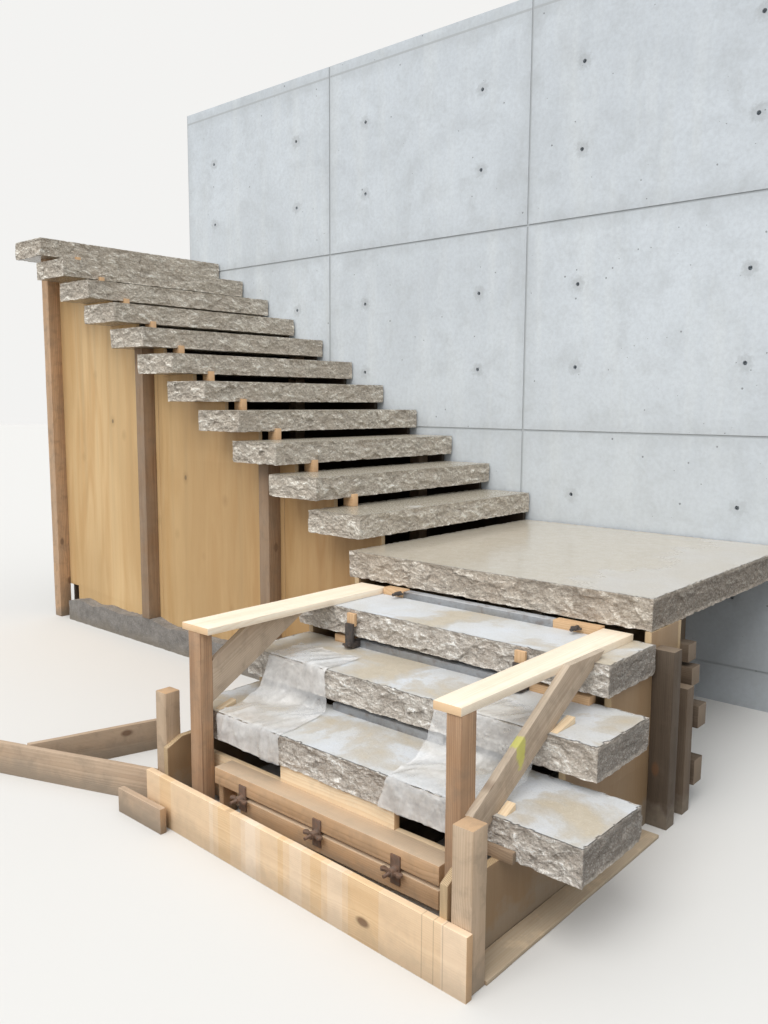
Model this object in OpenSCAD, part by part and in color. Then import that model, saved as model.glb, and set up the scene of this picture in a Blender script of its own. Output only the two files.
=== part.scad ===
// Quarter-turn flight of rock-faced stone treads and a stone landing beside a
// fair-faced concrete wall, still standing on its timber formwork.
// Millimetres, +Z up. X runs along the wall, +Y points into the wall.
// "Along" counts from the wall's left end, "out" from the wall's face.

/* [Wall] */
// Width of one cast bay of the wall
bay_w = 1710; // [1400:10:2000]
// Number of cast bays
bay_count = 4; // [4:1:5]
// Thickness of the wall
wall_t = 250; // [200:10:350]
// Height of the wall above the landing
wall_above = 3133; // [2600:10:3600]
// Height of the lowest sheet joint above the ground
sheet_low = 210; // [120:5:300]
// Height of one formwork sheet
sheet_h = 1250; // [1200:5:1300]
// Width of the grooves cast at the sheet joints
joint_w = 12; // [6:1:20]
// Depth of the grooves
joint_d = 5; // [3:1:8]
// Diameter of the recesses left by the casting ties
tie_hole_d = 24; // [16:1:40]
// Depth of the tie recesses
tie_hole_depth = 30; // [15:1:60]
// Distance from a bay's left joint to its first tie recess
tie_side = 355; // [300:5:420]
// Distance between the two tie recesses of a bay
tie_spread = 997; // [900:1:1100]
// Height of the first tie recess above a sheet joint
tie_low = 385; // [300:5:450]
// Height from the first tie recess to the second
tie_step = 485; // [400:5:600]

/* [Flights] */
// Rise from one tread to the next
rise = 170; // [155:1:180]
// Going from one nose to the next
going = 308; // [290:1:320]
// Number of treads in the upper flight
upper_count = 11; // [11:1:11]
// Number of treads in the lower flight
lower_count = 3; // [3:1:3]
// Depth of an upper tread, nose to back
tread_d = 368; // [350:1:385]
// Thickness of an upper tread
tread_t = 121; // [100:1:128]
// Length of an upper tread
tread_len = 1570; // [1500:5:1620]
// Gap between the wall's face and the stones
wall_gap = 10; // [5:1:20]
// How far the first upper nose reaches over the landing
first_lap = 16; // [5:1:40]
// Depth of a lower tread
lower_d = 370; // [350:1:385]
// Thickness of a lower tread
lower_t = 120; // [100:1:128]
// Extra length that each lower tread has over the one above it
lower_fan = 124; // [90:1:140]
// How far the third lower tread runs past the landing's right side
lower_over = 22; // [5:1:40]
// How far the lower treads start in from the landing's left side
lower_in = 31; // [10:1:50]
// Joint between the landing's front and the tread below it
slab_joint = 5; // [3:1:10]

/* [Landing] */
// Height of the landing's top above the ground
landing_h = 900; // [860:5:960]
// Width of the landing along the wall
landing_w = 1584; // [1500:5:1700]
// Depth of the landing out from the wall
landing_d = 1623; // [1560:5:1680]
// Thickness of the landing slab
landing_t = 130; // [110:1:140]
// Distance from the wall's left end to the landing
landing_along = 3471; // [3460:1:3520]

/* [Rock face] */
// Spacing of the chisel breaks along a stone's edge
break_pitch = 75; // [60:5:160]
// Deepest break into a rock face
break_depth = 14; // [6:1:20]
// Setback of the chipped top and bottom edges
arris = 7; // [3:1:12]

/* [Form under the upper flight] */
// Thickness of the form panels
panel_t = 27; // [21:1:30]
// Distance that the treads hang out past the outer panels
panel_inset = 195; // [170:5:220]
// Width of one outer panel
panel_w = 1219; // [1100:1:1250]
// Distance from the top tread's back to the panels' left end
panel_start = 243; // [200:1:280]
// Gap between the panels and the landing
panel_clear = 6; // [3:1:12]
// Width of a shoring post
post_w = 85; // [70:1:100]
// How far the end post laps over its panel
post_lap = 8; // [4:1:20]
// Depth of a shoring post
post_d = 90; // [70:1:100]
// Distance from a post's left side to the panel joint that it covers
post_lead = 118; // [90:1:140]
// Depth of the footing in front of the panels
plinth_d = 83; // [60:1:120]
// Height of the footing
plinth_h = 180; // [140:5:220]
// Deepest dip of the footing's ragged top
plinth_dip = 38; // [10:1:50]
// Width of the notch at the foot of the first panel
notch_w = 121; // [80:1:160]
// Height of the notch
notch_h = 244; // [200:1:280]
// Width of the blocks between the upper treads
spacer_w = 40; // [30:1:50]
// How far the blocks show past the nose above them
spacer_tail = 16; // [10:1:40]
// How far the blocks' heads rise past that nose's lower edge
spacer_head = 18; // [10:1:30]
// Distance from the outer panels in to the blocks
spacer_in = 41; // [20:1:60]

/* [Form under the landing] */
// Depth of the bearer under the landing's back edge
bearer_h = 120; // [90:5:140]
// Distance from the landing's left side to the bearer
bearer_in = 60; // [30:5:100]
// Length of the bearer
bearer_len = 1060; // [900:10:1200]
// Thickness of the rear walers
rear_waler_d = 80; // [60:1:100]
// Thickness of the joists under the lower treads
joist_t = 50; // [40:1:60]
// How far each step of the joists lies back from the nose above it
joist_back = 60; // [30:5:90]
// Width of the squared post near the landing's front
near_post_w = 85; // [70:1:100]
// Depth of that post
near_post_d = 70; // [60:1:90]
// Distance from the landing's front back to that post
near_post_back = 18; // [5:1:40]
// Width of the shorter post at the rear panel
far_post_w = 77; // [60:1:90]
// Depth of the shorter post
far_post_d = 65; // [50:1:80]
// How much lower the squared post ends than the landing
near_post_drop = 65; // [40:5:100]
// How much lower the shorter post ends than the landing
far_post_drop = 250; // [200:5:300]
// Height of the batten in front of the first tread's nose
batten_h = 38; // [30:1:50]
// Thickness of that batten
batten_t = 19; // [12:1:25]
// Width of the sole plank beside the right panel
sole_w = 88; // [70:1:110]
// Thickness of the sole plank
sole_t = 14; // [10:1:20]
// How far the right panel's front end rises past its top
panel_tip = 50; // [20:1:60]

/* [Front form] */
// How far the first nose reaches past the front board
nose_over = 14; // [5:1:30]
// Section of a front waler
waler_h = 68; // [60:1:80]
// Depth of a front waler
waler_d = 88; // [70:1:100]
// Gap between the two front walers
waler_gap = 14; // [12:1:20]
// Distance from the left side panel to the upper waler
waler_in = 245; // [200:5:300]
// Distance from the right side panel back to the walers' right ends
waler_short = 183; // [150:1:220]
// Distance from a waler's end to its outer tie
tie_inset = 175; // [120:5:230]
// Left end of the front board's raised middle, from the left side panel
front_left = 535; // [480:5:600]
// Right end of the front board's raised middle, from the right side panel
front_right = 443; // [400:1:500]
// How much lower the front board is beside its middle part
front_drop = 70; // [40:1:90]
// Height of the front board above the ground
front_foot = 20; // [10:1:40]
// Diameter of the tie rods
tie_d = 12; // [10:1:16]
// Width of a tie plate
plate_w = 40; // [30:1:60]
// Height of a tie plate
plate_h = 100; // [80:1:120]
// Span of a wing nut
wing_span = 96; // [80:1:110]
// Section of the left corner post
left_corner_w = 70; // [60:1:90]
// Height of the left corner post
left_corner_h = 456; // [420:1:500]
// Section of the right corner post
right_corner_w = 71; // [60:1:90]
// Height of the right corner post
right_corner_h = 485; // [450:1:520]
// Thickness of the kick board and the edging boards
board_t = 27; // [20:1:30]
// Height of the kick board
kick_h = 195; // [160:5:220]
// Distance from the front board to the kick board's left end
kick_ahead = 270; // [240:5:300]
// Distance from the left side panel to the kick board's left end
kick_in = 50; // [30:1:80]
// How far the kick board runs past the right side panel
kick_past = 91; // [80:1:110]
// Turn of the kick board away from the stair
kick_turn = 1.68; // [0.5:0.01:3]
// Height of the edging boards
edge_h = 140; // [110:5:170]
// Run of the long edging board along the wall
edge_run = 967; // [850:1:1000]
// Run of the long edging board away from the wall
edge_spread = 363; // [300:1:400]
// Distance from the front board to the long edging board's near end
edge_ahead = 187; // [170:1:220]
// Distance from the left side panel to that end
edge_gap = 17; // [10:1:40]
// Length of the cross board
cross_len = 592; // [500:1:650]
// Distance along the long edging board to the cross board
cross_at = 359; // [300:1:400]
// Turn of the cross board
cross_turn = -73.8; // [-80:0.1:-60]
// Length of the offcut in front of the kick board
offcut_len = 288; // [200:1:320]
// Height of the offcut
offcut_h = 100; // [80:1:120]

/* [Rails] */
// Width of the left rail post
left_post_w = 73; // [60:1:90]
// Depth of the left rail post
left_post_d = 60; // [50:1:80]
// Width of the right rail post
right_post_w = 57; // [50:1:80]
// Depth of the right rail post
right_post_d = 75; // [60:1:90]
// Distance from the left side panel to the left rail post
left_post_in = 103; // [90:1:130]
// How far the left rail board reaches past its post's left face
left_rail_over = 39; // [20:1:50]
// Distance from the right side panel to the right rail post's right face
right_post_in = 66; // [50:1:90]
// Gap between the first nose and the left rail post
left_post_gap = 21; // [15:1:40]
// Gap between the first nose and the right rail post
right_post_gap = 51; // [40:1:70]
// Thickness of the rail boards
rail_t = 28; // [22:1:32]
// Width of the left rail board
left_rail_w = 164; // [140:1:180]
// Width of the right rail board at the landing
right_rail_w = 128; // [110:1:150]
// Width of the right rail board at its near end
right_rail_near = 104; // [90:1:130]
// Distance from the landing's front to the rail boards' far ends
rail_gap = 17; // [10:1:30]
// Thickness of the braces
brace_t = 27; // [20:1:30]
// Height of the left brace's foot above the first tread
left_brace_foot = 48; // [30:1:70]
// Height of the cut that stands against the left post
left_brace_cut = 167; // [120:1:200]
// Slope of the braces' upper edges, rise over run
brace_slope = 0.61; // [0.5:0.01:0.7]
// Slope of their lower edges
brace_under = 0.557; // [0.5:0.001:0.6]
// Drop of the right brace's foot below the first tread
right_brace_foot = 39; // [20:1:60]
// Length of the cut across the right brace's foot
right_brace_cut = 70; // [50:1:90]

/* [Tubes and clamps] */
// Depth of the flat steel tubes
tube_w = 50; // [40:1:60]
// Height of the tubes
tube_h = 29; // [24:1:32]
// Wall thickness of the tubes
tube_wall = 2; // [1.5:0.5:3]
// How far the lower tubes lie back from the nose above them
tube_back = 23; // [10:1:40]
// Distance from the left side panel to the lowest tube
tube_1_left = 501; // [440:1:560]
// Distance from the right side panel to the lowest tube
tube_1_right = 483; // [430:1:540]
// Distance from the left side panel to the middle tube
tube_2_left = 323; // [280:1:380]
// Distance from the right side panel to the middle tube
tube_2_right = 315; // [300:1:370]
// Distance from the left side panel to the highest tube
tube_3_left = 356; // [300:1:410]
// Distance from the right side panel to the highest tube
tube_3_right = 399; // [350:1:450]
// Height of the end blocks
tube_block_h = 34; // [25:1:38]
// Length of the left end blocks
tube_block_w = 115; // [90:5:130]
// Length of the right end block on the second tread
long_block_w = 250; // [200:5:280]
// Width of a clamp bar
clamp_w = 44; // [30:1:50]
// Thickness of a clamp bar
clamp_t = 12; // [8:1:16]
// Thickness of the wooden pads under the clamps
pad_t = 16; // [12:1:20]
// Width of the wooden pads
pad_w = 46; // [40:1:80]
// Height of a pad
pad_h = 56; // [46:1:70]
// How far the pads end below the third tread's top
pad_drop = 14; // [8:1:20]
// How far the clamp bars end below the pads
bar_drop = 44; // [30:1:50]
// Diameter of the clamp bolts
bolt_d = 14; // [10:1:18]
// How far the bolts stand out of the blocks
bolt_out = 57; // [40:1:70]
// Height of the bolts above the third tread
bolt_up = 21; // [18:1:24]
// Span of a clamp's wing nut
small_span = 52; // [44:1:60]

/* [Film and wedges] */
// Thickness of the protective film
film_t = 3; // [2:0.5:4]
// Clearance between the film and the stone's nose
film_clear = 4; // [2:1:8]
// How far the film lies back over the second tread
film_back = 210; // [150:5:250]
// Distance from the left side panel to the left sheet
left_film_in = 193; // [180:1:240]
// Width of the left sheet
left_film_w = 318; // [250:1:340]
// Width of the right sheet
right_film_w = 400; // [300:1:420]
// Distance from the right side panel to the right sheet
right_film_in = 78; // [60:1:120]
// Thickness of a wedge at its thick end
wedge_t = 24; // [15:1:35]
// Width of a wedge
wedge_w = 32; // [25:1:50]

/* [Hidden] */

granite = [0.62, 0.58, 0.54];
concrete = [0.74, 0.76, 0.78];
ply_tan = [0.85, 0.70, 0.45];
old_wood = [0.58, 0.47, 0.37];
new_wood = [0.90, 0.80, 0.62];
spacer_wood = [0.82, 0.60, 0.38];
zinc = [0.62, 0.64, 0.66];
rust = [0.42, 0.30, 0.24];
clear_film = [0.86, 0.88, 0.90];

wall_len = bay_w * bay_count;
wall_h = landing_h + wall_above;

// Upper treads count up from the landing
function upper_nose(i) = landing_along + first_lap - (i - 1) * going;
function upper_back(i) = upper_nose(i) - tread_d;
function upper_top(i) = landing_h + rise * i;
function upper_under(i) = upper_top(i) - tread_t;

// Lower treads count up from the ground: 1 is the first step
landing_out = wall_gap + landing_d;
landing_under = landing_h - landing_t;
function lower_back(k) = landing_out + slab_joint + (lower_count - k) * going;
function lower_nose(k) = lower_back(k) + lower_d;
function lower_top(k) = landing_h - rise * (lower_count + 1 - k);
function lower_under(k) = lower_top(k) - lower_t;
function lower_right(k) = landing_along + landing_w + lower_over + (lower_count - k) * lower_fan;
lower_left = landing_along + lower_in;

// Panels under the upper flight
tread_out = wall_gap + tread_len;
panel_out = tread_out - panel_inset;
inner_out = wall_gap + panel_t;
form_left = upper_back(upper_count) + panel_start;
form_right = landing_along - panel_clear;
panel_ends = [form_left, form_left + panel_w, form_left + 2 * panel_w, form_right];
post_alongs = [form_left + post_lap - post_w, panel_ends[1] - post_lead, panel_ends[2] - post_lead];

// Box under the landing and the lower flight
side_right = landing_along + landing_w;
side_left = lower_left + 5;
form_front = lower_nose(1) - nose_over;
// Top of each rear waler below the landing's underside, its height and its tail
rear_walers_at = [[98, 74, 35], [191, 77, 54], [341, 93, 87], [570, 105, 82]];

// Front walers share the height under the first tread
waler_front = form_front + waler_d;
waler_foot = (lower_under(1) - 2 * waler_h - waler_gap) * 0.45;
tie_up_front = waler_foot + waler_h + waler_gap / 2;
waler_left = side_left + waler_in;
waler_right = side_right - waler_short;
tie_alongs = [waler_left + tie_inset, (waler_left + waler_right) / 2 + 20, waler_right - tie_inset];
front_middle = [side_left + front_left, side_right - front_right];

// Kick board and edging boards
kick_at = [side_left + kick_in, form_front + kick_ahead];
function kick_face(x) = kick_at[1] + (x - kick_at[0]) * tan(kick_turn) - board_t / cos(kick_turn);
reach_out = form_front + edge_ahead + edge_spread;
edge_at = [side_left - edge_gap - edge_run, reach_out];
edge_turn = -atan2(edge_spread, edge_run);
right_corner = side_right + 13;

// Rails
rail_h = lower_top(lower_count);
rail_far = landing_out + rail_gap;
left_post = [side_left + left_post_in, lower_nose(1) + left_post_gap];
right_post = [side_right - right_post_in - right_post_w, lower_nose(1) + right_post_gap];
left_rail = left_post[0] - left_rail_over;
brace_reach = 36;
right_rail = right_post[0] + right_post_w;

// Left and right end of each tube, from the first tread up
tube_runs = [[side_left + tube_1_left, side_right - tube_1_right],
             [side_left + tube_2_left, side_right - tube_2_right],
             [side_left + tube_3_left, side_right - tube_3_right]];
function tube_front(k) = k == lower_count ? landing_out + tube_w : lower_nose(k + 1) - tube_back;

// The origin is the middle of the footprint, on the ground
wall_x0 = -wall_len / 2;
face_y = (reach_out - wall_t) / 2;

// Turns distances along, out and up into the part's own frame
module site() {
    translate([wall_x0, face_y, 0]) mirror([0, 1, 0]) children();
}

// A block between two corners given as along, out and up
module block(a, b) {
    translate(a) cube(b - a);
}

// A board on edge from a corner on the ground, thickened to its right
module plank(at, len, turn, h) {
    translate([at[0], at[1], 0]) rotate([0, 0, turn]) translate([0, -board_t, 0]) cube([len, board_t, h]);
}

// Extrudes an out-and-up profile along the wall
module along_profile(from, to) {
    translate([from, 0, 0]) rotate([90, 0, 90]) linear_extrude(to - from) children();
}

// Extrudes an along-and-up profile out from the wall
module out_profile(from, to) {
    translate([0, to, 0]) rotate([90, 0, 0]) linear_extrude(to - from) children();
}

// A round bar that runs out from the wall's side
module bar_out(along, from, to, up, d) {
    translate([along, to, up]) rotate([90, 0, 0]) cylinder(d = d, h = to - from, $fn = 24);
}

// Boards stacked side by side, each given as start, end and top, from one foot
module stepped(levels, foot) {
    for (s = levels) translate([s[0], foot]) square([s[1] - s[0], s[2] - foot]);
}

// Points along one side of a stone, each with its inward direction
function side_points(a, b, inward, corner) =
    let (n = max(2, round(norm(b - a) / break_pitch)))
    [for (i = [0 : n - 1]) [a + (b - a) * i / n, i == 0 ? corner : inward]];

function stone_outline(w, d) = concat(
    side_points([0, 0], [w, 0], [0, 1], [1, 1]),
    side_points([w, 0], [w, d], [-1, 0], [-1, 1]),
    side_points([w, d], [0, d], [0, -1], [-1, -1]),
    side_points([0, d], [0, 0], [1, 0], [1, -1]));

// A slab with sawn top and bottom and rock-faced sides. Every point of every
// course is set back by a random break, and the two arrises a little more.
module rock_slab(w, d, t, seed) {
    outline = stone_outline(w, d);
    n = len(outline);
    courses = [0, 0.22, 0.5, 0.78, 1];
    last = len(courses) - 1;
    breaks = rands(0, 1, n * len(courses), seed);
    points = [for (j = [0 : last]) for (i = [0 : n - 1])
        let (edge = j == 0 || j == last,
             back = break_depth * breaks[i + j * n] * (edge ? 0.5 : 1) + (edge ? arris : 0))
        [each outline[i][0] + outline[i][1] * back, courses[j] * t]];
    sides = [for (j = [0 : last - 1]) for (i = [0 : n - 1])
        let (k = (i + 1) % n, a = j * n, b = a + n)
        each [[a + i, b + i, b + k], [a + i, b + k, a + k]]];
    bottom = [for (i = [0 : n - 1]) i];
    top = [for (i = [n - 1 : -1 : 0]) last * n + i];
    polyhedron(points, concat(sides, [bottom, top]));
}

module retaining_wall() {
    color(concrete) site() difference() {
        block([0, -wall_t, 0], [wall_len, 0, wall_h]);
        for (y = [-joint_d, -wall_t - 1]) {
            for (b = [1 : bay_count - 1])
                block([b * bay_w - joint_w / 2, y, -1],
                      [b * bay_w + joint_w / 2, y + joint_d + 1, wall_h + 1]);
            for (s = [0 : 2])
                block([-1, y, sheet_low + s * sheet_h - joint_w / 2],
                      [wall_len + 1, y + joint_d + 1, sheet_low + s * sheet_h + joint_w / 2]);
        }
        for (b = [0 : bay_count - 1]) for (x = [tie_side, tie_side + tie_spread])
            for (s = [0 : 2]) for (z = [tie_low, tie_low + tie_step])
                tie_recess(b * bay_w + x, sheet_low + s * sheet_h + z);
    }
}

module tie_recess(along, up) {
    if (up < wall_h - tie_hole_d) bar_out(along, -tie_hole_depth, 1, up, tie_hole_d);
}

// Footing with a ragged top, level only where a post stands on it
function dips(from, to, seed) = let (n = 6, low = rands(0.2, 1, n - 1, seed))
    [for (i = [1 : n - 1]) [from + (to - from) * i / n, plinth_h - plinth_dip * low[i - 1]]];

module form_plinth() {
    left = form_left + notch_w;
    a = post_alongs[1];
    b = post_alongs[2];
    ragged = concat([[left, 0], [left, plinth_h - plinth_dip]], dips(left, a, 3),
                    [[a, plinth_h], [a + post_w, plinth_h]], dips(a + post_w, b, 4),
                    [[b, plinth_h], [b + post_w, plinth_h]], dips(b + post_w, form_right, 5),
                    [[form_right, plinth_h - plinth_dip], [form_right, 0]]);
    color(concrete) site() out_profile(panel_out, panel_out + plinth_d) polygon(ragged);
}

module upper_tread(i) {
    color(granite) site() translate([upper_back(i), wall_gap, upper_under(i)])
        rock_slab(tread_d, tread_len, tread_t, i);
}

module landing_slab() {
    color(granite) site() translate([landing_along, wall_gap, landing_under])
        rock_slab(landing_w, landing_d, landing_t, 40);
}

module lower_tread(k) {
    color(granite) site() translate([lower_left, lower_back(k), lower_under(k)])
        rock_slab(lower_right(k) - lower_left, lower_d, lower_t, 20 + k);
}

// Blocks that keep the gap between one tread and the next. Each lies on the
// lower tread and has a head that stands up before the nose above it.
module tread_spacers() {
    to = panel_out - panel_t - spacer_in;
    color(spacer_wood) site() for (i = [1 : upper_count - 1]) out_profile(to - spacer_w, to) {
        stepped([[upper_back(i) + slab_joint, upper_nose(i + 1) + 1, upper_under(i + 1)],
                 [upper_nose(i + 1) + 1, upper_nose(i + 1) + spacer_tail, upper_under(i + 1) + spacer_head]],
                upper_top(i));
    }
}

// Levels under the upper treads between two distances along the wall
function upper_levels(from, to) = [for (i = [1 : upper_count])
    let (a = max(from, upper_back(i)), b = min(to, i == 1 ? form_right : upper_back(i - 1)))
    if (b > a) [a, b, upper_under(i)]];

// The panels part at narrow butt joints
module form_sheet(p) {
    stepped(upper_levels(panel_ends[p], panel_ends[p + 1] - 2), 0);
}

module outer_form_panels() {
    color(ply_tan) site() out_profile(panel_out - panel_t, panel_out) difference() {
        for (p = [0 : 2]) form_sheet(p);
        translate([form_left - 1, -1]) square([notch_w + 1, notch_h + 1]);
    }
}

// Panels against the wall, and the sheet that closes the form's high end
module inner_form_panels() {
    color(ply_tan) site() {
        out_profile(wall_gap, inner_out) for (p = [0 : 2]) form_sheet(p);
        block([form_left, inner_out, 0],
              [form_left + panel_t, panel_out - panel_t, upper_under(upper_count)]);
    }
}

// Tread whose level covers a distance along the wall
function level_at(x) = [for (s = upper_levels(upper_back(upper_count), landing_along))
    if (x >= s[0] && x < s[1]) s[2]][0];
function post_top(x) = min(level_at(x), level_at(x + post_w));

module outer_form_posts() {
    color(old_wood) site() for (x = post_alongs)
        block([x, panel_out, x == post_alongs[0] ? 0 : plinth_h],
              [x + post_w, panel_out + post_d, post_top(x)]);
}

module inner_form_posts() {
    color(old_wood) site() for (x = post_alongs)
        block([x, inner_out, 0], [x + post_w, inner_out + post_d, post_top(x)]);
}

// A bearer under the landing's back edge on two props
module landing_props() {
    left = landing_along + bearer_in;
    right = left + bearer_len;
    color(old_wood) site() {
        block([left, wall_gap, landing_under - bearer_h], [right, wall_gap + post_d, landing_under]);
        for (x = [left + bearer_in, right - bearer_in - post_w])
            block([x, wall_gap, 0], [x + post_w, wall_gap + post_d, landing_under - bearer_h]);
    }
}

// Levels under the landing's front and the lower treads, out from the wall
lower_levels = concat(
    [[panel_out, landing_out, landing_under]],
    [for (k = [lower_count : -1 : 1])
        [k == lower_count ? landing_out : lower_back(k),
         k == 1 ? lower_nose(1) : lower_back(k - 1), lower_under(k)]]);

// The right panel runs on to the kick board and ends in a raised tip
module right_side_form() {
    top = lower_under(1);
    front = kick_face(side_right - panel_t);
    tip = front - 2 * panel_tip;
    color(ply_tan) site() along_profile(side_right - panel_t, side_right) {
        stepped(lower_levels, 0);
        polygon([[lower_nose(1), 0], [lower_nose(1), top], [tip, top], [tip, top + panel_tip],
                 [front - panel_tip, top + panel_tip], [front, top + panel_tip / 2], [front, 0]]);
    }
}

// The left panel ends beside the corner post, cut down at its front end
module left_side_form() {
    nose = lower_nose(1);
    color(ply_tan) site() along_profile(side_left, side_left + panel_t) {
        stepped(lower_levels, 0);
        polygon([[nose, 0], [nose, lower_under(1)], [form_front + 80, lower_under(1)],
                 [form_front + 154, lower_under(1) - 34], [form_front + 154, 0]]);
    }
}

module rear_form() {
    color(ply_tan) site()
        block([landing_along, panel_out - panel_t, 0], [side_right, panel_out, landing_under]);
}

module rear_walers() {
    back = panel_out - panel_t;
    color(old_wood) site() for (w = rear_walers_at)
        block([landing_along + 20, back - rear_waler_d, landing_under - w[0] - w[1]],
              [side_right + w[2], back, landing_under - w[0]]);
}

// The two posts outside the right panel, and a batten that lies on the panel
// in front of the first nose
module right_form_posts() {
    near = landing_out - near_post_back;
    color(old_wood) site() {
        block([side_right, near - near_post_d, 0],
              [side_right + near_post_w, near, landing_under - near_post_drop]);
        block([side_right, panel_out, 0],
              [side_right + far_post_w, panel_out + far_post_d, landing_under - far_post_drop]);
        block([side_right - 2 * batten_h, lower_nose(1) + 1, lower_under(1)],
              [side_right + 50, lower_nose(1) + 1 + batten_t, lower_under(1) + batten_h]);
    }
}

// Stepped joists that carry the lower treads between the side forms, each
// step a little behind the nose above it
module middle_bearers() {
    inside = form_front - panel_t;
    third = (side_right - side_left) / 3;
    steps = [for (s = lower_levels)
        [max(panel_out, s[0] - joist_back), min(s[1] - joist_back, inside), s[2]]];
    color(old_wood) site() for (x = [side_left + third, side_right - third - joist_t])
        along_profile(x, x + joist_t) stepped(steps, 0);
}

module front_form() {
    low = lower_under(1) - front_drop;
    color(new_wood) site() difference() {
        out_profile(form_front - panel_t, form_front)
            stepped([[side_left + panel_t, front_middle[0], low],
                     [front_middle[0], front_middle[1], lower_under(1)],
                     [front_middle[1], side_right - panel_t, low]], front_foot);
        for (x = tie_alongs) bar_out(x, form_front - panel_t - 5, form_front + 5, tie_up_front, tie_d + 3);
    }
}

// The lower waler starts at the first tie, and a prop carries the upper one
module front_walers() {
    upper_foot = waler_foot + waler_h + waler_gap;
    color(spacer_wood) site() {
        block([tie_alongs[0] - plate_w / 2, form_front, waler_foot],
              [waler_right, waler_front, waler_foot + waler_h]);
        block([waler_left, form_front, upper_foot], [waler_right, waler_front, upper_foot + waler_h]);
        block([waler_left, form_front, 0], [waler_left + board_t, waler_front - 20, upper_foot]);
    }
}

// A wing nut on a rod, both wings level, its back at the given distance out
module wing_nut(along, out, up, span, hub) {
    bar_out(along, out, out + hub, up, hub);
    translate([along, out + hub * 0.6, up - hub / 6]) linear_extrude(hub / 3) {
        square([span - hub, hub / 2], center = true);
        for (s = [-1, 1]) translate([s * (span - hub) / 2, 0]) circle(d = hub * 0.8, $fn = 24);
    }
}

// Tie rods between the two walers, each with a plate and a wing nut
module front_ties() {
    color(rust) site() for (x = tie_alongs) {
        bar_out(x, form_front - 50, waler_front + 62, tie_up_front, tie_d);
        block([x - plate_w / 2, waler_front, tie_up_front - plate_h / 2],
              [x + plate_w / 2, waler_front + 6, tie_up_front + plate_h / 2]);
        wing_nut(x, waler_front + 6, tie_up_front, wing_span, 28);
    }
}

module corner_posts() {
    color(old_wood) site() {
        block([side_left - left_corner_w, form_front + 69, 0],
              [side_left, form_front + 69 + left_corner_w, left_corner_h]);
        block([right_corner, kick_face(right_corner) - right_corner_w, 0],
              [right_corner + right_corner_w, kick_face(right_corner), right_corner_h]);
    }
}

module kick_board() {
    color(new_wood) site()
        plank(kick_at, (side_right + kick_past - kick_at[0]) / cos(kick_turn), kick_turn, kick_h);
}

// The long board, the cross board that butts against it, and an offcut
module edging_boards() {
    ahead = [cos(edge_turn), sin(edge_turn)];
    inward = [sin(edge_turn), -cos(edge_turn)];
    cross = edge_at + cross_at * ahead + board_t * inward;
    color(new_wood) site() {
        plank(edge_at, norm([edge_run, edge_spread]), edge_turn, edge_h);
        plank(cross, cross_len, cross_turn, edge_h);
        plank(kick_at + [-120, 2 * board_t], offcut_len, 0, offcut_h);
    }
}

module sole_plank() {
    color(new_wood) site() block([side_right + 1, landing_out + 57, 0],
        [side_right + 1 + sole_w, kick_face(right_corner) - right_corner_w - 2, sole_t]);
}

module rail_posts() {
    color(old_wood) site() {
        block([left_post[0], left_post[1], 0],
              [left_post[0] + left_post_w, left_post[1] + left_post_d, rail_h]);
        block([right_post[0], right_post[1], 0],
              [right_post[0] + right_post_w, right_post[1] + right_post_d, rail_h]);
    }
}

module rail_boards() {
    left_near = left_post[1] + left_post_d;
    right_near = right_post[1] + right_post_d + 5;
    color(new_wood) site() {
        block([left_rail, rail_far, rail_h], [left_rail + left_rail_w, left_near, rail_h + rail_t]);
        translate([0, 0, rail_h]) linear_extrude(rail_t)
            polygon([[right_rail, rail_far], [right_rail, right_near],
                     [right_rail - right_rail_near, right_near], [right_rail - right_rail_w, rail_far]]);
    }
}

// The left brace stands against its post's back and ends under the rail board,
// the right one runs up the board's side
module rail_braces() {
    left_side = left_post[0] + left_post_w;
    left_foot = lower_top(1) + left_brace_foot;
    left_top = left_foot + left_brace_cut;
    foot = [lower_nose(1) + brace_reach, lower_top(1) - right_brace_foot];
    heel = foot + right_brace_cut * [1, 1];
    top = rail_h + rail_t;
    color(old_wood) site() {
        along_profile(left_side - brace_t, left_side)
            polygon([[left_post[1], left_foot], [left_post[1], left_top],
                     [left_post[1] - (rail_h - left_top) / brace_slope, rail_h],
                     [left_post[1] - (rail_h - left_foot) / brace_under, rail_h]]);
        along_profile(right_rail, right_rail + brace_t)
            polygon([foot, heel, [heel[0] - (top - heel[1]) / brace_slope, top],
                     [foot[0] - (top - foot[1]) / brace_under, top]]);
    }
}

module riser_tubes() {
    color(zinc) site() for (k = [1 : lower_count]) along_profile(tube_runs[k - 1][0], tube_runs[k - 1][1])
        translate([tube_front(k) - tube_w, lower_top(k)]) difference() {
            square([tube_w, tube_h]);
            translate([tube_wall, tube_wall]) square([tube_w - 2 * tube_wall, tube_h - 2 * tube_wall]);
        }
}

// Where the clamps grip the nose of the third tread
clamp_alongs = [tube_runs[1][0] + clamp_w / 2, tube_runs[1][1] - clamp_w / 2];
clamp_out = lower_nose(lower_count) + 1;
pad_top = lower_top(lower_count) - pad_drop;
bolt_alongs = [tube_runs[2][0] - bolt_d, tube_runs[2][1] + tube_block_w];

// Blocks at the ends of the two upper tubes, and pads under the clamps
module tube_blocks() {
    color(spacer_wood) site() {
        tube_block(3, left_rail + left_rail_w + slab_joint, tube_runs[2][0]);
        tube_block(3, tube_runs[2][1], right_rail - right_rail_w);
        tube_block(2, tube_runs[1][0] - tube_block_w, tube_runs[1][0]);
        tube_block(2, tube_runs[1][1], tube_runs[1][1] + long_block_w);
        for (x = clamp_alongs)
            block([x - pad_w / 2, clamp_out, pad_top - pad_h], [x + pad_w / 2, clamp_out + pad_t, pad_top]);
    }
}

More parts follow.
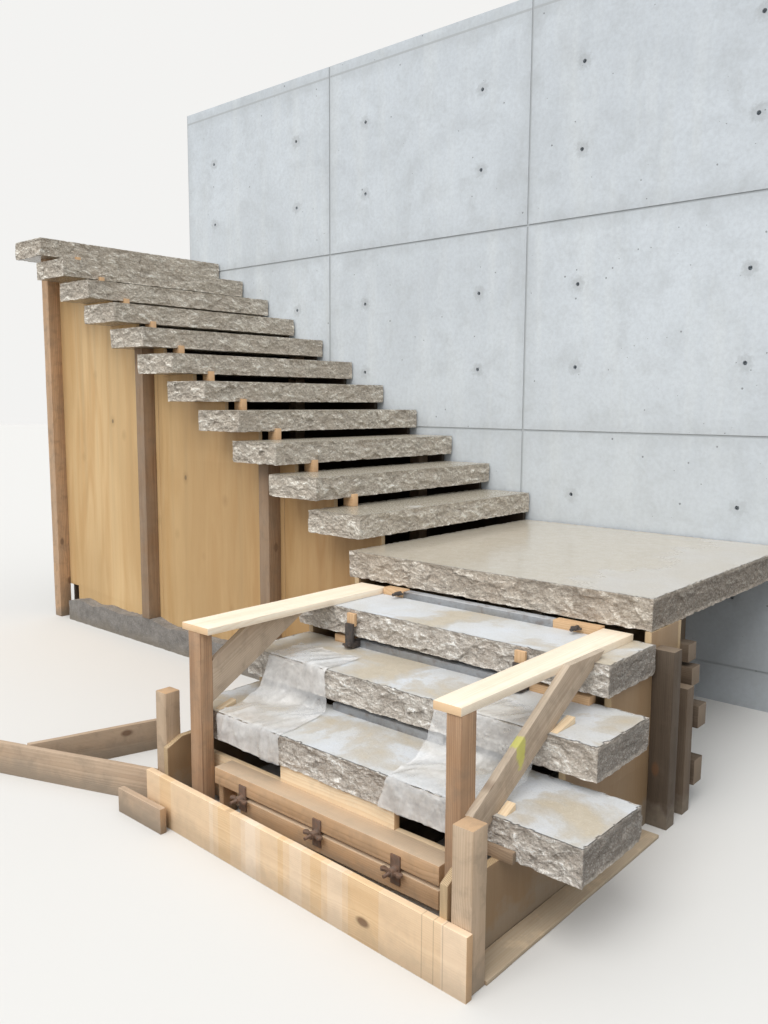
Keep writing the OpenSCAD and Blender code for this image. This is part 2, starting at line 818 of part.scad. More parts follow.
module tube_block(k, from, to) {
    block([from, tube_front(k) - tube_w, lower_top(k)], [to, tube_front(k), lower_top(k) + tube_block_h]);
}

// Bolts with wing nuts through the upper blocks, and bars that grip the nose
module tube_clamps() {
    foot = lower_top(2) + 7;
    foot_h = 25;
    bar = clamp_out + pad_t;
    bolt_at = lower_top(3) + bolt_up;
    color(rust) site() {
        for (x = bolt_alongs) {
            bar_out(x, tube_front(3), tube_front(3) + bolt_out, bolt_at, bolt_d);
            wing_nut(x, tube_front(3) + 4, bolt_at, small_span, 20);
        }
        for (x = clamp_alongs) {
            block([x - clamp_w / 2, bar, foot], [x + clamp_w / 2, bar + clamp_t, pad_top - bar_drop]);
            block([x - clamp_w / 2, tube_front(2), foot], [x + clamp_w / 2, bar, foot + foot_h]);
            wing_nut(x, bar + clamp_t, foot + foot_h / 2, small_span, 20);
        }
    }
}

// Film over the nose of the second tread, down to the first and over its nose
module film_profile() {
    hem = lower_under(1) + 12;
    translate([lower_nose(2) - film_back, lower_top(2)]) square([film_back + film_clear + film_t, film_t]);
    translate([lower_nose(2) + film_clear, lower_top(1)]) {
        square([film_t, rise + film_t]);
        square([going + film_t, film_t]);
    }
    translate([lower_nose(1) + film_clear, hem]) square([film_t, lower_top(1) + film_t - hem]);
}

module left_film() {
    left = side_left + left_film_in;
    color(clear_film) site() along_profile(left, left + left_film_w) film_profile();
}

module right_film() {
    right = side_right - right_film_in;
    color(clear_film) site() along_profile(right - right_film_w, right) film_profile();
}

// A wedge that thins toward the stone's nose
module wedge(along, from, to, top) {
    along_profile(along, along + wedge_w) polygon([[from, top], [to, top], [from, top + wedge_t]]);
}

module stone_wedges() {
    color(new_wood) site() {
        wedge(side_right - 46, lower_nose(2) - 142, lower_nose(2) - 20, lower_top(2));
        wedge(side_right - 38, lower_nose(1) - 78, lower_nose(1) - 22, lower_top(1));
        wedge(side_left + 134, lower_nose(1) - 104, lower_nose(1) - 20, lower_top(1));
    }
}

retaining_wall();
form_plinth();
upper_tread(1);  // upper_tread_01
upper_tread(2);  // upper_tread_02
upper_tread(3);  // upper_tread_03
upper_tread(4);  // upper_tread_04
upper_tread(5);  // upper_tread_05
upper_tread(6);  // upper_tread_06
upper_tread(7);  // upper_tread_07
upper_tread(8);  // upper_tread_08
upper_tread(9);  // upper_tread_09
upper_tread(10);  // upper_tread_10
upper_tread(11);  // upper_tread_11
landing_slab();
lower_tread(1);  // lower_tread_1
lower_tread(2);  // lower_tread_2
lower_tread(3);  // lower_tread_3
tread_spacers();
outer_form_panels();
outer_form_posts();
inner_form_panels();
inner_form_posts();
landing_props();
right_side_form();
left_side_form();
rear_form();
rear_walers();
right_form_posts();
middle_bearers();
front_form();
front_walers();
front_ties();
corner_posts();
kick_board();
edging_boards();
sole_plank();
rail_posts();
rail_boards();
rail_braces();
riser_tubes();
tube_blocks();
tube_clamps();
left_film();
right_film();
stone_wedges();
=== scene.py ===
import math
import random

import bmesh
import bpy
from bpy.props import FloatProperty, FloatVectorProperty, IntProperty, PointerProperty
from mathutils import Matrix, Vector, noise


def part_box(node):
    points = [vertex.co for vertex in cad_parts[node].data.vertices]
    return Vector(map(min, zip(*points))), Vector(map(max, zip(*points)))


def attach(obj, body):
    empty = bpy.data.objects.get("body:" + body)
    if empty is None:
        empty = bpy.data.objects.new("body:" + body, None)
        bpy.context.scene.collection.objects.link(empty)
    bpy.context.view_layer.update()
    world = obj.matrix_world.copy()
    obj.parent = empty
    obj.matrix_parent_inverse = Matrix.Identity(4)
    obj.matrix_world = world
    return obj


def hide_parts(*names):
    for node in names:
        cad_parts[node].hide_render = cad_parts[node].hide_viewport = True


bl_info = {
    "name": "Stone Stair on Its Formwork",
    "version": (1, 0, 0),
    "blender": (4, 5, 0),
    "location": "View3D > Sidebar > Stair",
    "description": "Dresses a quarter-turn stone stair, its concrete wall and its timber formwork",
    "category": "Object",
}

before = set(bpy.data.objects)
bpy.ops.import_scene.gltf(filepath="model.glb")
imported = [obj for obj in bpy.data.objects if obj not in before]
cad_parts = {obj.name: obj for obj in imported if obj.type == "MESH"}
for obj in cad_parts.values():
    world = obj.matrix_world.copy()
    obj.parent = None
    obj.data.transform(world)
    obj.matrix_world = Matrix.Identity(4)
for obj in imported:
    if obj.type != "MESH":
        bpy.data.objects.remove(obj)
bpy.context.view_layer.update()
WALL_LOW, WALL_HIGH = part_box("retaining_wall")
BODY = "root"

UPPER_TREADS = ["upper_tread_%02d" % i for i in range(1, 12)]
LOWER_TREADS = ["lower_tread_1", "lower_tread_2", "lower_tread_3"]
STONES = UPPER_TREADS + LOWER_TREADS + ["landing_slab"]

# The form sheets of the wall and the casting ties in each, in metres
BAY = (WALL_HIGH.x - WALL_LOW.x) / 4
SHEET_LOW, SHEET = 0.21, 1.25
TIES_ALONG, TIES_UP = (0.355, 1.352), (0.385, 0.87)

# Out and up of the first and the second nose, on which the film lies
NOSES = [(WALL_LOW.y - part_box(name)[0].y + 0.004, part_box(name)[1].z) for name in LOWER_TREADS[:2]]

# How far in from a stone's side the breaking of its face reaches, and how far
# its top and bottom edges, its corners and its chipped lip hold it back
BAND, EDGE, CORNER, LIP = 0.045, 0.02, 0.035, 0.022

# How much flatter than wide the broken flakes of the granite lie, and what its
# mesh tells the material
STRATA = (1, 1, 1.7)
MARKS = ("rock", "relief", "crack_and_end_shade")

# Blender's vector noise starts from the clock unless it is given a number
NOISE_DRAW = 1795680333

# Even lengths that boards are cut into, and the least upward lean of an upper face
BOARD_STEP, UPWARD = 0.09, 0.7


def at(along, out, up):
    """A point from its distance along the wall, out from its face and above the ground."""
    return Vector((WALL_LOW.x + along, WALL_LOW.y - out, up))


# Settings


def colour(name, text, value):
    return FloatVectorProperty(name=name, description=text, default=value, min=0, max=1, subtype="COLOR")


def length(name, text, value, low, high):
    return FloatProperty(name=name, description=text, default=value, min=low, max=high, unit="LENGTH")


def strength(name, text, value):
    return FloatProperty(name=name, description=text, default=value, min=0)


class StoneSettings(bpy.types.PropertyGroup):
    cell: length("Cell", "Size of the mesh cells on the nearest stones", 0.0055, 0.004, 0.03)
    depth: length("Break depth", "Deepest break into a rock face", 0.02, 0.002, 0.025)
    arris: length("Arris", "Setback of the chipped edges", 0.005, 0.001, 0.015)
    face: colour("Face", "Broken face of the granite", (0.62, 0.565, 0.49))
    # The hollow colour is painted shade in the deep parts of a broken face, and the chip colour is also
    # the painted highlight on its ridges.
    hollow: colour("Hollow", "Deep part of a broken face", (0.3, 0.255, 0.21))
    chip: colour("Chip", "Freshly chipped spot", (0.92, 0.89, 0.82))
    top: colour("Top", "Dry sawn top", (0.6, 0.61, 0.62))
    damp: colour("Damp", "Damp sawn top", (0.49, 0.425, 0.325))


class TimberSettings(bpy.types.PropertyGroup):
    bevel: length("Bevel", "Softening of a board's edges", 0.0025, 0.0005, 0.006)
    wobble: length("Wobble", "Unevenness of a board's faces", 0.0014, 0, 0.004)
    fresh: colour("Fresh wood", "Planed new board", (0.87, 0.71, 0.5))
    orange: colour("Orange wood", "Oiled formwork beam", (0.68, 0.45, 0.265))
    old: colour("Old wood", "Weathered post", (0.4, 0.26, 0.155))
    pale: colour("Pale wood", "Dusty post", (0.62, 0.47, 0.33))
    ply: colour("Plywood", "Face veneer of the form panels", (0.76, 0.53, 0.27))


class ConcreteSettings(bpy.types.PropertyGroup):
    wall: colour("Wall", "Fair-faced concrete", (0.7, 0.755, 0.81))
    footing: colour("Footing", "Rough concrete of the footing", (0.31, 0.285, 0.26))


class MetalSettings(bpy.types.PropertyGroup):
    zinc: colour("Zinc", "Galvanised steel", (0.58, 0.6, 0.63))
    rust: colour("Rust", "Rusty steel", (0.17, 0.125, 0.1))


class FilmSettings(bpy.types.PropertyGroup):
    milk: colour("Film", "Dusty translucent film", (0.93, 0.94, 0.96))
    crease: length("Crease", "Height of the creases", 0.007, 0, 0.03)


class StageSettings(bpy.types.PropertyGroup):
    floor: colour("Floor", "Pale floor", (0.72, 0.71, 0.69))
    reach: length("Reach", "Radius of the floor", 60, 10, 200)
    sun: strength("Key light", "Strength of the soft key light", 1.9)
    sky: strength("Sky", "Strength of the light from all round", 0.8)
    seed: IntProperty(name="Seed", description="Seed of every random draw", default=7)


SETTINGS = {
    "stair_stone": StoneSettings,
    "stair_timber": TimberSettings,
    "stair_concrete": ConcreteSettings,
    "stair_metal": MetalSettings,
    "stair_film": FilmSettings,
    "stair_stage": StageSettings,
}


def settings(name):
    return getattr(bpy.context.scene, "stair_" + name)


# Node tools


class Wire:
    """The output of a shader node. Wires are added, taken away and multiplied as
    numbers are, which places the Math nodes that do it."""

    def __init__(self, node, key=0):
        self.socket, self.tree = node.outputs[key], node.id_data

    def __add__(self, other):
        return maths("ADD", self, other)

    def __sub__(self, other):
        return maths("SUBTRACT", self, other)

    def __rsub__(self, other):
        return maths("SUBTRACT", other, self)

    def __mul__(self, other):
        return maths("MULTIPLY", self, other)


def wires(node):
    """All outputs of a node by name."""
    return {socket.name: Wire(node, number) for number, socket in enumerate(node.outputs)}


def fill(node, values):
    """Sets or links a node's inputs by name or number."""
    for key, value in values.items():
        if isinstance(value, Wire):
            node.id_data.links.new(value.socket, node.inputs[key])
        else:
            node.inputs[key].default_value = value
    return node


def add(kind, values, tree=None, **options):
    """Adds a shader node, by default to the tree that its first wire comes from."""
    tree = tree or next(value.tree for value in values.values() if isinstance(value, Wire))
    node = tree.nodes.new("ShaderNode" + kind)
    for key, value in options.items():
        setattr(node, key, value)
    return fill(node, values)


def rgba(value):
    return value if isinstance(value, Wire) else (*value, 1)


def mix(factor, a, b, blend="MIX"):
    """Mixes two colours and returns the result."""
    values = {0: factor, 6: rgba(a), 7: rgba(b)}
    return Wire(add("Mix", values, data_type="RGBA", blend_type=blend), 2)


def spread(value, low, high, new_low=0, new_high=1):
    """Maps a value from one range to another, held at both ends."""
    return Wire(add("MapRange", dict(enumerate((value, low, high, new_low, new_high)))))


def maths(operation, a, b=0):
    return Wire(add("Math", {0: a, 1: b}, operation=operation))


def vectors(operation, a, b, key="Vector"):
    return Wire(add("VectorMath", {0: a, 1: b}, operation=operation), key)


def scaled(vector, scale):
    return vectors("MULTIPLY", vector, scale)


def place_of(tree):
    return Wire(add("TexCoord", {}, tree), "Object")


def split(vector):
    node = add("SeparateXYZ", {0: vector})
    return [Wire(node, axis) for axis in range(3)]


def attribute(tree, name, output="Fac"):
    return Wire(add("Attribute", {}, tree, attribute_name=name), output)


def cloud(vector, scale, detail=4, rough=0.55, distortion=0, output="Fac"):
    values = {"Vector": vector, "Scale": scale, "Detail": detail, "Roughness": rough,
              "Distortion": distortion}
    return Wire(add("TexNoise", values), output)


def cells(vector, scale, output="Distance", **options):
    return Wire(add("TexVoronoi", {"Vector": vector, "Scale": scale}, **options), output)


def channel(tint, number=0):
    return Wire(add("SeparateColor", {0: tint}), number)


def new_group(name, numbers, results):
    """A new shader node group that takes a vector and numbers and gives results:
    the wires that come into it and its end node."""
    group = bpy.data.node_groups.new(name, "ShaderNodeTree")
    group.interface.new_socket("Vector", in_out="INPUT", socket_type="NodeSocketVector")
    for text, value in numbers.items():
        socket = group.interface.new_socket(text, in_out="INPUT", socket_type="NodeSocketFloat")
        socket.default_value = value
    for text in results:
        group.interface.new_socket(text, in_out="OUTPUT", socket_type="NodeSocketFloat")
    start = group.nodes.new("NodeGroupInput")
    wires_in = [Wire(start, number) for number in range(len(numbers) + 1)]
    return wires_in, group.nodes.new("NodeGroupOutput")


def patches_group():
    """Soft-edged patches of any size: damp spots, dust, dirt and stains."""
    numbers = {"Scale": 3, "Cover": 0.5, "Softness": 0.1}
    (place, scale, cover, soft), out = new_group("Patches", numbers, ["Mask"])
    broad = cloud(place, scale, 6, 0.6, 0.4)
    start = 0.72 - cover * 0.45
    fill(out, {"Mask": spread(broad, start - soft, start + soft)})


def grain_group():
    """Growth rings and knots of sawn timber, from coordinates along the board."""
    results = ["Rings", "Knots", "Fibre", "Height"]
    (place, close, often), out = new_group("Timber grain", {"Rings": 55, "Knots": 3}, results)
    knots = cells(scaled(place, (0.55, 1, 0)), often, voronoi_dimensions="2D")
    near = spread(knots, 0, 0.3, 1, 0)
    push = Wire(add("CombineXYZ", {1: near * 0.022}))
    bent = vectors("ADD", place, push)
    values = {"Vector": scaled(bent, (0.12, 1, 1)), "Scale": close, "Distortion": 2.2,
              "Detail": 3, "Detail Scale": 0.35}
    wave = add("TexWave", values, wave_type="RINGS", rings_direction="X", wave_profile="SAW")
    rings = Wire(wave, "Fac")
    fibre = cloud(scaled(place, (6, 260, 260)), 1, 2, 0.6)
    height = rings * 0.5 + fibre * 0.6
    spot = spread(knots, 0.055, 0.03)
    fill(out, {"Rings": rings, "Knots": spot, "Fibre": fibre, "Height": height})


def crystals_group():
    """Crystals of granite: pale and dark grains a few millimetres across."""
    (place, scale), out = new_group("Crystals", {"Scale": 260}, ["Pale", "Dark"])
    tint = add("SeparateColor", {0: cells(place, scale, "Color")})
    fill(out, {"Pale": spread(Wire(tint, 0), 0.7, 0.95), "Dark": spread(Wire(tint, 1), 0.8, 0.97)})


def facets_group():
    """Small tilted planes with steps between them, as on freshly split stone."""
    (place, scale), out = new_group("Facets", {"Scale": 40}, ["Height", "Tone"])
    wander = cloud(place, scale, 3, 0.6, output="Color")
    wander = scaled(vectors("SUBTRACT", wander, (0.5, 0.5, 0.5)), (0.9, 0.9, 0.9))
    whole = Wire(add("VectorMath", {0: place, 3: scale}, operation="SCALE"))
    bent = vectors("ADD", whole, wander)
    plane = wires(add("TexVoronoi", {"Vector": bent, "Scale": 1}))
    away = vectors("SUBTRACT", bent, plane["Position"])
    lean = vectors("SUBTRACT", plane["Color"], (0.5, 0.5, 0.5))
    slope = vectors("DOT_PRODUCT", lean, away, "Value")
    tone = channel(plane["Color"], 2)
    fill(out, {"Height": slope * 1.3 + tone * 0.45, "Tone": tone})


def splash_group():
    """Mud that has splashed up from the ground, with a ragged upper edge."""
    (place, height), out = new_group("Splash", {"Height": 0.1}, ["Mask"])
    reach = (cloud(place, 9, 5, 0.65) * 2.2 - 0.3) * height
    fill(out, {"Mask": spread(split(place)[2] - reach, 0.02, -0.05)})


def use(name, values):
    """Places a shared group in a material and returns its outputs by name."""
    return wires(add("Group", values, node_tree=bpy.data.node_groups[name]))


def patches(vector, scale, cover, softness=0.1):
    values = {"Vector": vector, "Scale": scale, "Cover": cover, "Softness": softness}
    return use("Patches", values)["Mask"]


def new_material(name, colour_now):
    material = bpy.data.materials.new(name)
    material.use_nodes = True
    material.diffuse_color = rgba(colour_now)
    tree = material.node_tree
    return tree, tree.nodes["Principled BSDF"]


def finish_shader(shader, base, rough, height, distance):
    """Feeds colour, roughness and relief into the Principled shader."""
    bump = add("Bump", {"Height": height, "Distance": distance, "Strength": 1})
    fill(shader, {"Base Color": base, "Roughness": rough, "Normal": Wire(bump)})


# Materials


def lit_noise(place, flat_lying, above, *look):
    """Noise, and how far it lies over the same noise a little above, which is high on ledges and low
    under them; the granite paints light on the ledges and shade under them from it."""
    here = cloud(flat_lying, *look)
    return here, here - cloud(scaled(vectors("ADD", place, above), STRATA), *look)


def granite(name, gain, damp_cover, damp_scale, gloss, damp_gain=(1, 1, 1), dry_from=None):
    """Granite with a sawn top and broken sides. The mesh marks its broken sides with rock, their relief
    with relief and the lines between facets with crack; the crack value is also full on the right ends
    of the landing and the lower treads, as painted shade. The broken sides are painted with shading: the
    hollow colour in their hollows and under ledges, lighter on ledges that face up, and the chip colour
    as painted highlights on the ridges.
    Beyond dry_from, a place along the wall, the top has begun to dry."""
    stone = settings("stone")
    tree, shader = new_material(name, stone.face)
    place = place_of(tree)
    rock, relief, crack_and_end_shade = (attribute(tree, name) for name in MARKS)
    crystals = use("Crystals", {"Vector": place, "Scale": 230})
    flat_lying = scaled(place, STRATA)
    planes = use("Facets", {"Vector": flat_lying, "Scale": 34})
    flakes = use("Facets", {"Vector": flat_lying, "Scale": 88})
    coarse, ledge = lit_noise(place, flat_lying, (0.003, 0.003, 0.006), 22, 8, 0.64, 0.5)
    slabs, slope = lit_noise(place, flat_lying, (0.01, 0.01, 0.016), 7.5, 4, 0.58, 0.9)
    fine = cloud(place, 110, 5, 0.7)

    # Painted shading: relief, the noise differences at ledges and the facet heights run from the hollow
    # colour (painted shade) to the face colour (painted light on ledges that face up).
    shade = relief * 0.34 + coarse * 0.3
    shade = shade + (ledge * 1.6 + planes["Height"] * 0.14)
    shade = shade + slope * 1.1
    side = mix(spread(shade, 0.16, 0.56), stone.hollow, stone.face)
    side = mix(spread(flakes["Tone"], 0.2, 0.9, 0, 0.35), side, (0.7, 0.66, 0.59))
    warm = patches(place, 6, 0.55, 0.15)
    side = mix(warm * 0.4, side, (0.52, 0.44, 0.36))
    # Painted highlight in the chip colour on the ridges and top-lit ledges.
    light = spread(shade, 0.5, 0.72) * spread(fine, 0.3, 0.5)
    side = mix(light, side, stone.chip)
    # The crack value darkens the lines between facets and, as painted shade, the right ends of the
    # landing and the lower treads.
    side = mix(spread(crack_and_end_shade, 0.6, 1, 0, 0.48), side, (0.1, 0.085, 0.07))
    side = mix(crystals["Dark"] * 0.3, side, (0.07, 0.06, 0.055))
    side = mix(crystals["Pale"] * 0.25, side, stone.chip)
    side = mix(1, side, gain, "MULTIPLY")

    damp = patches(place, damp_scale, damp_cover, 0.05)
    if dry_from:
        wander = spread(cloud(place, 3, 5, 0.6), 0.3, 0.7, -0.16, 0.16)
        reach = split(place)[0] + wander
        dry = spread(reach, WALL_LOW.x + dry_from - 0.03, WALL_LOW.x + dry_from + 0.05)
        damp = damp * (1 - dry * 0.5)
    edge = damp * (1 - damp)
    smear = patches(place, 5.5, 0.55, 0.16)
    dust = patches(place, 3, 0.55, 0.12)
    top = mix(dust, stone.top, (0.66, 0.69, 0.735))
    top = mix(smear * 0.45, top, (0.56, 0.53, 0.46))
    soaked = mix(spread(coarse, 0.35, 0.65), stone.damp, (0.55, 0.485, 0.385))
    soaked = mix(1, soaked, damp_gain, "MULTIPLY")
    top = mix(damp * 0.92, top, soaked)
    top = mix(edge * 0.9, top, (0.4, 0.35, 0.275))
    top = mix(crystals["Dark"] * 0.12, top, (0.2, 0.18, 0.16))
    top = mix(crystals["Pale"] * 0.14, top, (0.86, 0.84, 0.8))
    base = mix(rock, top, side)

    dry = spread(fine, 0.3, 0.7, 0.55, 0.8)
    wet = mix(damp * gloss, dry, (0.13, 0.13, 0.13))
    rough = mix(rock, wet, (0.86, 0.86, 0.86))
    side_height = planes["Height"] * 0.35 + flakes["Height"] * 0.2
    side_height = side_height + (coarse * 1.3 + slabs * 1.6)
    calm = 0.12 - damp * gloss * 0.11
    height = Wire(add("Mix", {0: rock, 2: fine * calm, 3: side_height}))
    finish_shader(shader, base, rough, height, 0.018)


def timber_material(name, tone, late, grey, mud=0.6, rings=55, knots=3, bands=None, dust=0,
                    lines=(), dab=None, end=(0.6, 0.36, 0.18)):
    """Sawn softwood. The mesh carries coordinates along each board in grain, marks
    its sawn ends with cut and its upper faces with upward, and has a shade for
    each board in lot. Lines are saw marks at places along the wall, and dab is
    the middle of a dab of paint."""
    tree, shader = new_material(name, tone)
    grain = attribute(tree, "grain", "Vector")
    place = place_of(tree)
    wood = use("Timber grain", {"Vector": grain, "Rings": rings, "Knots": knots})
    broad = cloud(scaled(grain, (0.8, 14, 14)), 2, 4, 0.6)
    base = mix(spread(wood["Rings"], 0.35, 1, 0, 0.55), tone, late)
    base = mix(spread(broad, 0.4, 0.66, 0, 0.55), base, late)
    base = mix(spread(wood["Fibre"], 0.5, 0.75) * 0.25, base, late)
    if bands:
        wide = cloud(scaled(grain, (5.5, 0, 0)), 1, 1, 0.4)
        lot = spread(maths("SNAP", wide, 0.09), 0.36, 0.62)
        base = mix(lot * 0.7, base, bands)
    base = mix(1, base, attribute(tree, "lot") * 0.5 + 0.75, "MULTIPLY")
    base = mix(attribute(tree, "cut") * 0.75, base, end)
    base = mix(wood["Knots"] * 0.85, base, (0.15, 0.07, 0.03))
    worn = patches(place, 4, grey, 0.22)
    base = mix(worn * grey, base, (0.36, 0.31, 0.255))
    dirt = patches(place, 16, 0.3, 0.1)
    base = mix(dirt * grey, base, (0.22, 0.17, 0.12))
    splash = use("Splash", {"Vector": place, "Height": 0.09})["Mask"]
    base = mix(splash * mud, base, (0.3, 0.25, 0.195))
    if dust:
        base = mix(attribute(tree, "upward") * dust, base, (0.62, 0.54, 0.43))
    for line in lines:
        away = maths("ABSOLUTE", split(place)[0] - (WALL_LOW.x + line))
        base = mix(spread(away, 0.0022, 0.001, 0, 0.45), base, (0.33, 0.22, 0.13))
    if dab:
        away = scaled(vectors("SUBTRACT", place, dab), (6, 40, 20))
        away = vectors("ADD", away, scaled(cloud(place, 45, 5, output="Color"), (1.6, 1.6, 1.6)))
        gap = Wire(add("VectorMath", {0: away}, operation="LENGTH"), "Value")
        base = mix(spread(gap, 1.2, 0.9, 0, 0.7), base, (0.62, 0.62, 0.1))
    rough = spread(wood["Fibre"], 0.2, 0.8, 0.62, 0.85)
    finish_shader(shader, base, rough, wood["Height"], 0.0012)


def plywood(name, tone, core=(0.66, 0.48, 0.28)):
    """Rotary-cut veneer with upright grain, rain streaks and layered edges."""
    tree, shader = new_material(name, tone)
    place = place_of(tree)
    grain = attribute(tree, "grain", "Vector")
    waves = cloud(scaled(place, (8, 8, 0.8)), 1, 3, 0.5, 1.6)
    fibre = cloud(scaled(place, (420, 420, 9)), 1, 2, 0.6)
    broad = cloud(scaled(place, (1.7, 1.7, 0.6)), 1, 3, 0.5)
    deep = [t * k for t, k in zip(tone, (0.76, 0.62, 0.45))]
    dull = [t * k for t, k in zip(tone, (0.74, 0.69, 0.62))]
    base = mix(spread(waves, 0.4, 0.66, 0, 0.55), tone, deep)
    base = mix(spread(broad, 0.4, 0.66, 0, 0.75), base, dull)
    base = mix(spread(fibre, 0.52, 0.72, 0, 0.12), base, [t * 0.5 for t in tone])
    knots = cells(scaled(place, (1, 1, 0.8)), 4.2)
    base = mix(spread(knots, 0.17, 0.05, 0, 0.3), base, [t * 0.55 for t in deep])
    base = mix(spread(knots, 0.062, 0.04, 0, 0.8), base, [t * 0.25 for t in tone])
    streak = cloud(scaled(place, (17, 17, 0.5)), 1, 4, 0.55)
    up = split(place)[2]
    grey = spread(streak, 0.54, 0.74) * spread(up, 0.2, 2.4, 0.1, 0.35)
    base = mix(grey, base, [t * 0.45 + 0.02 for t in tone])
    layers = maths("PINGPONG", split(grain)[2], 0.0022)
    core = mix(spread(layers, 0.0009, 0.0013), core, [t * 0.45 for t in core])
    # Painted shade: the plywood grows darker towards the landing.
    painted_shade_toward_landing = spread(split(place)[0], WALL_LOW.x + 1.3, WALL_LOW.x + 3.1, 0, 0.85)
    base = mix(painted_shade_toward_landing, base, mix(1, base, (0.6, 0.52, 0.44), "MULTIPLY"))
    base = mix(attribute(tree, "cut"), base, core)
    splash = use("Splash", {"Vector": place, "Height": 0.14})["Mask"]
    base = mix(splash * 0.6, base, (0.31, 0.265, 0.21))
    height = fibre + waves * 0.6
    finish_shader(shader, base, spread(fibre, 0.2, 0.8, 0.48, 0.68), height, 0.0008)


def tie_distance(from_left, from_joint):
    """Distance to the nearest recess that a casting tie has left."""
    parts = []
    for value, period, places in ((from_left, BAY, TIES_ALONG), (from_joint, SHEET, TIES_UP)):
        wrapped = maths("FLOORED_MODULO", value, period)
        gaps = [maths("ABSOLUTE", wrapped - p) for p in places]
        parts.append(maths("POWER", maths("MINIMUM", *gaps), 2))
    return maths("SQRT", parts[0] + parts[1])


def wall_concrete(name):
    """Fair-faced concrete: clouds, sheet to sheet differences, air holes, pale joints with darker
    margins and a ring of stain around each tie recess. The air holes are painted dark and the foot of
    the wall darker, as painted shade."""
    tone = settings("concrete").wall
    tree, shader = new_material(name, tone)
    place = place_of(tree)
    axes = split(place)
    from_left, from_joint = axes[0] - WALL_LOW.x, axes[2] - SHEET_LOW
    clouds = cloud(place, 1.5, 7, 0.62, 0.6)
    mottle = cloud(place, 5.5, 6, 0.62, 0.4)
    streaks = cloud(scaled(place, (7, 7, 0.8)), 1, 5, 0.6)
    fine = cloud(place, 42, 6, 0.65)
    counts = ((from_left, BAY), (from_joint, SHEET))
    numbers = [maths("FLOOR", maths("DIVIDE", value, period)) for value, period in counts]
    sheet = Wire(add("CombineXYZ", dict(enumerate(numbers))))
    lot = Wire(add("TexWhiteNoise", {"Vector": sheet}, noise_dimensions="2D"), "Value")
    dim = [t * 0.86 for t in tone]
    base = mix(spread(clouds, 0.36, 0.64), dim, tone)
    base = mix(lot * 0.3, base, dim)
    base = mix(spread(mottle, 0.48, 0.68, 0, 0.38), base, (0.47, 0.5, 0.52))
    base = mix(spread(streaks, 0.5, 0.72, 0, 0.45), base, (0.74, 0.78, 0.8))
    base = mix(spread(fine, 0.36, 0.6, 0.16, 0), base, (0.3, 0.315, 0.33))
    beside, above = maths("PINGPONG", from_left, BAY / 2), maths("PINGPONG", from_joint, SHEET / 2)
    margin = maths("MINIMUM", beside, above)
    frayed = margin + spread(cloud(place, 6, 5, 0.7), 0.3, 0.7, -0.035, 0.035)
    base = mix(spread(frayed, 0.09, 0, 0, 0.3), base, (0.42, 0.445, 0.46))
    base = mix(spread(margin, 0.0085, 0.0055, 0, 0.8), base, (0.44, 0.465, 0.48))
    ring = tie_distance(from_left, from_joint) + spread(fine, 0.3, 0.7, -0.012, 0.012)
    base = mix(spread(ring, 0.055, 0.03, 0, 0.35), base, (0.36, 0.38, 0.39))
    # Painted shade: darker towards the foot of the wall, with a ragged upper edge.
    low = axes[2] - clouds * 1.6
    base = mix(spread(low, 1.2, -0.3, 0, 0.42), base, (0.43, 0.455, 0.465))
    # The air holes are painted dark as shade inside them.
    holes = wires(add("TexVoronoi", {"Vector": place, "Scale": 26}))
    limit = maths("POWER", channel(holes["Color"]), 9) * 0.16
    hole = maths("LESS_THAN", holes["Distance"], limit)
    base = mix(hole * 0.7, base, (0.16, 0.17, 0.18))
    height = fine * 0.35 - hole
    finish_shader(shader, base, spread(clouds, 0.3, 0.7, 0.62, 0.78), height, 0.002)


def footing_concrete(name):
    tone = settings("concrete").footing
    tree, shader = new_material(name, tone)
    place = place_of(tree)
    clouds = cloud(place, 14, 8, 0.7)
    fine = cloud(place, 90, 5, 0.7)
    base = mix(spread(clouds, 0.36, 0.66), [t * 0.6 for t in tone], tone)
    base = mix(spread(fine, 0.5, 0.72, 0, 0.5), base, (0.42, 0.42, 0.41))
    splash = use("Splash", {"Vector": place, "Height": 0.07})["Mask"]
    base = mix(splash * 0.7, base, (0.25, 0.215, 0.17))
    finish_shader(shader, base, 0.9, clouds + fine * 0.4, 0.01)


def zinc_steel(name):
    tone = settings("metal").zinc
    tree, shader = new_material(name, tone)
    place = place_of(tree)
    tint = channel(cells(place, 130, "Color"))
    stain = patches(place, 9, 0.45, 0.12)
    base = mix(tint * 0.35, [t * 0.52 for t in tone], [t * 0.85 for t in tone])
    # Painted highlight: the upward faces of the tubes keep the full zinc tone while the other faces are
    # darker.
    base = mix(attribute(tree, "upward"), base, tone)
    base = mix(stain * 0.35, base, [t * 0.62 for t in tone])
    base = mix(patches(place, 21, 0.22, 0.1) * 0.7, base, (0.2, 0.15, 0.12))
    shine = spread(stain, 0, 1, 0.75, 0.35) - attribute(tree, "upward") * 0.35
    fill(shader, {"Metallic": shine})
    height = tint + stain * 0.6
    finish_shader(shader, base, spread(tint, 0, 1, 0.3, 0.5), height, 0.0004)


def rusty_steel(name, tone, rust):
    tree, shader = new_material(name, tone)
    place = place_of(tree)
    flakes = cloud(place, 70, 7, 0.7)
    worn = patches(place, 34, 0.45, 0.1)
    base = mix(spread(flakes, 0.4, 0.62), tone, rust)
    base = mix(worn * 0.6, base, [t * 1.7 for t in tone])
    fill(shader, {"Metallic": spread(worn, 0, 1, 0.15, 0.7)})
    finish_shader(shader, base, spread(worn, 0, 1, 0.78, 0.45), flakes, 0.0012)


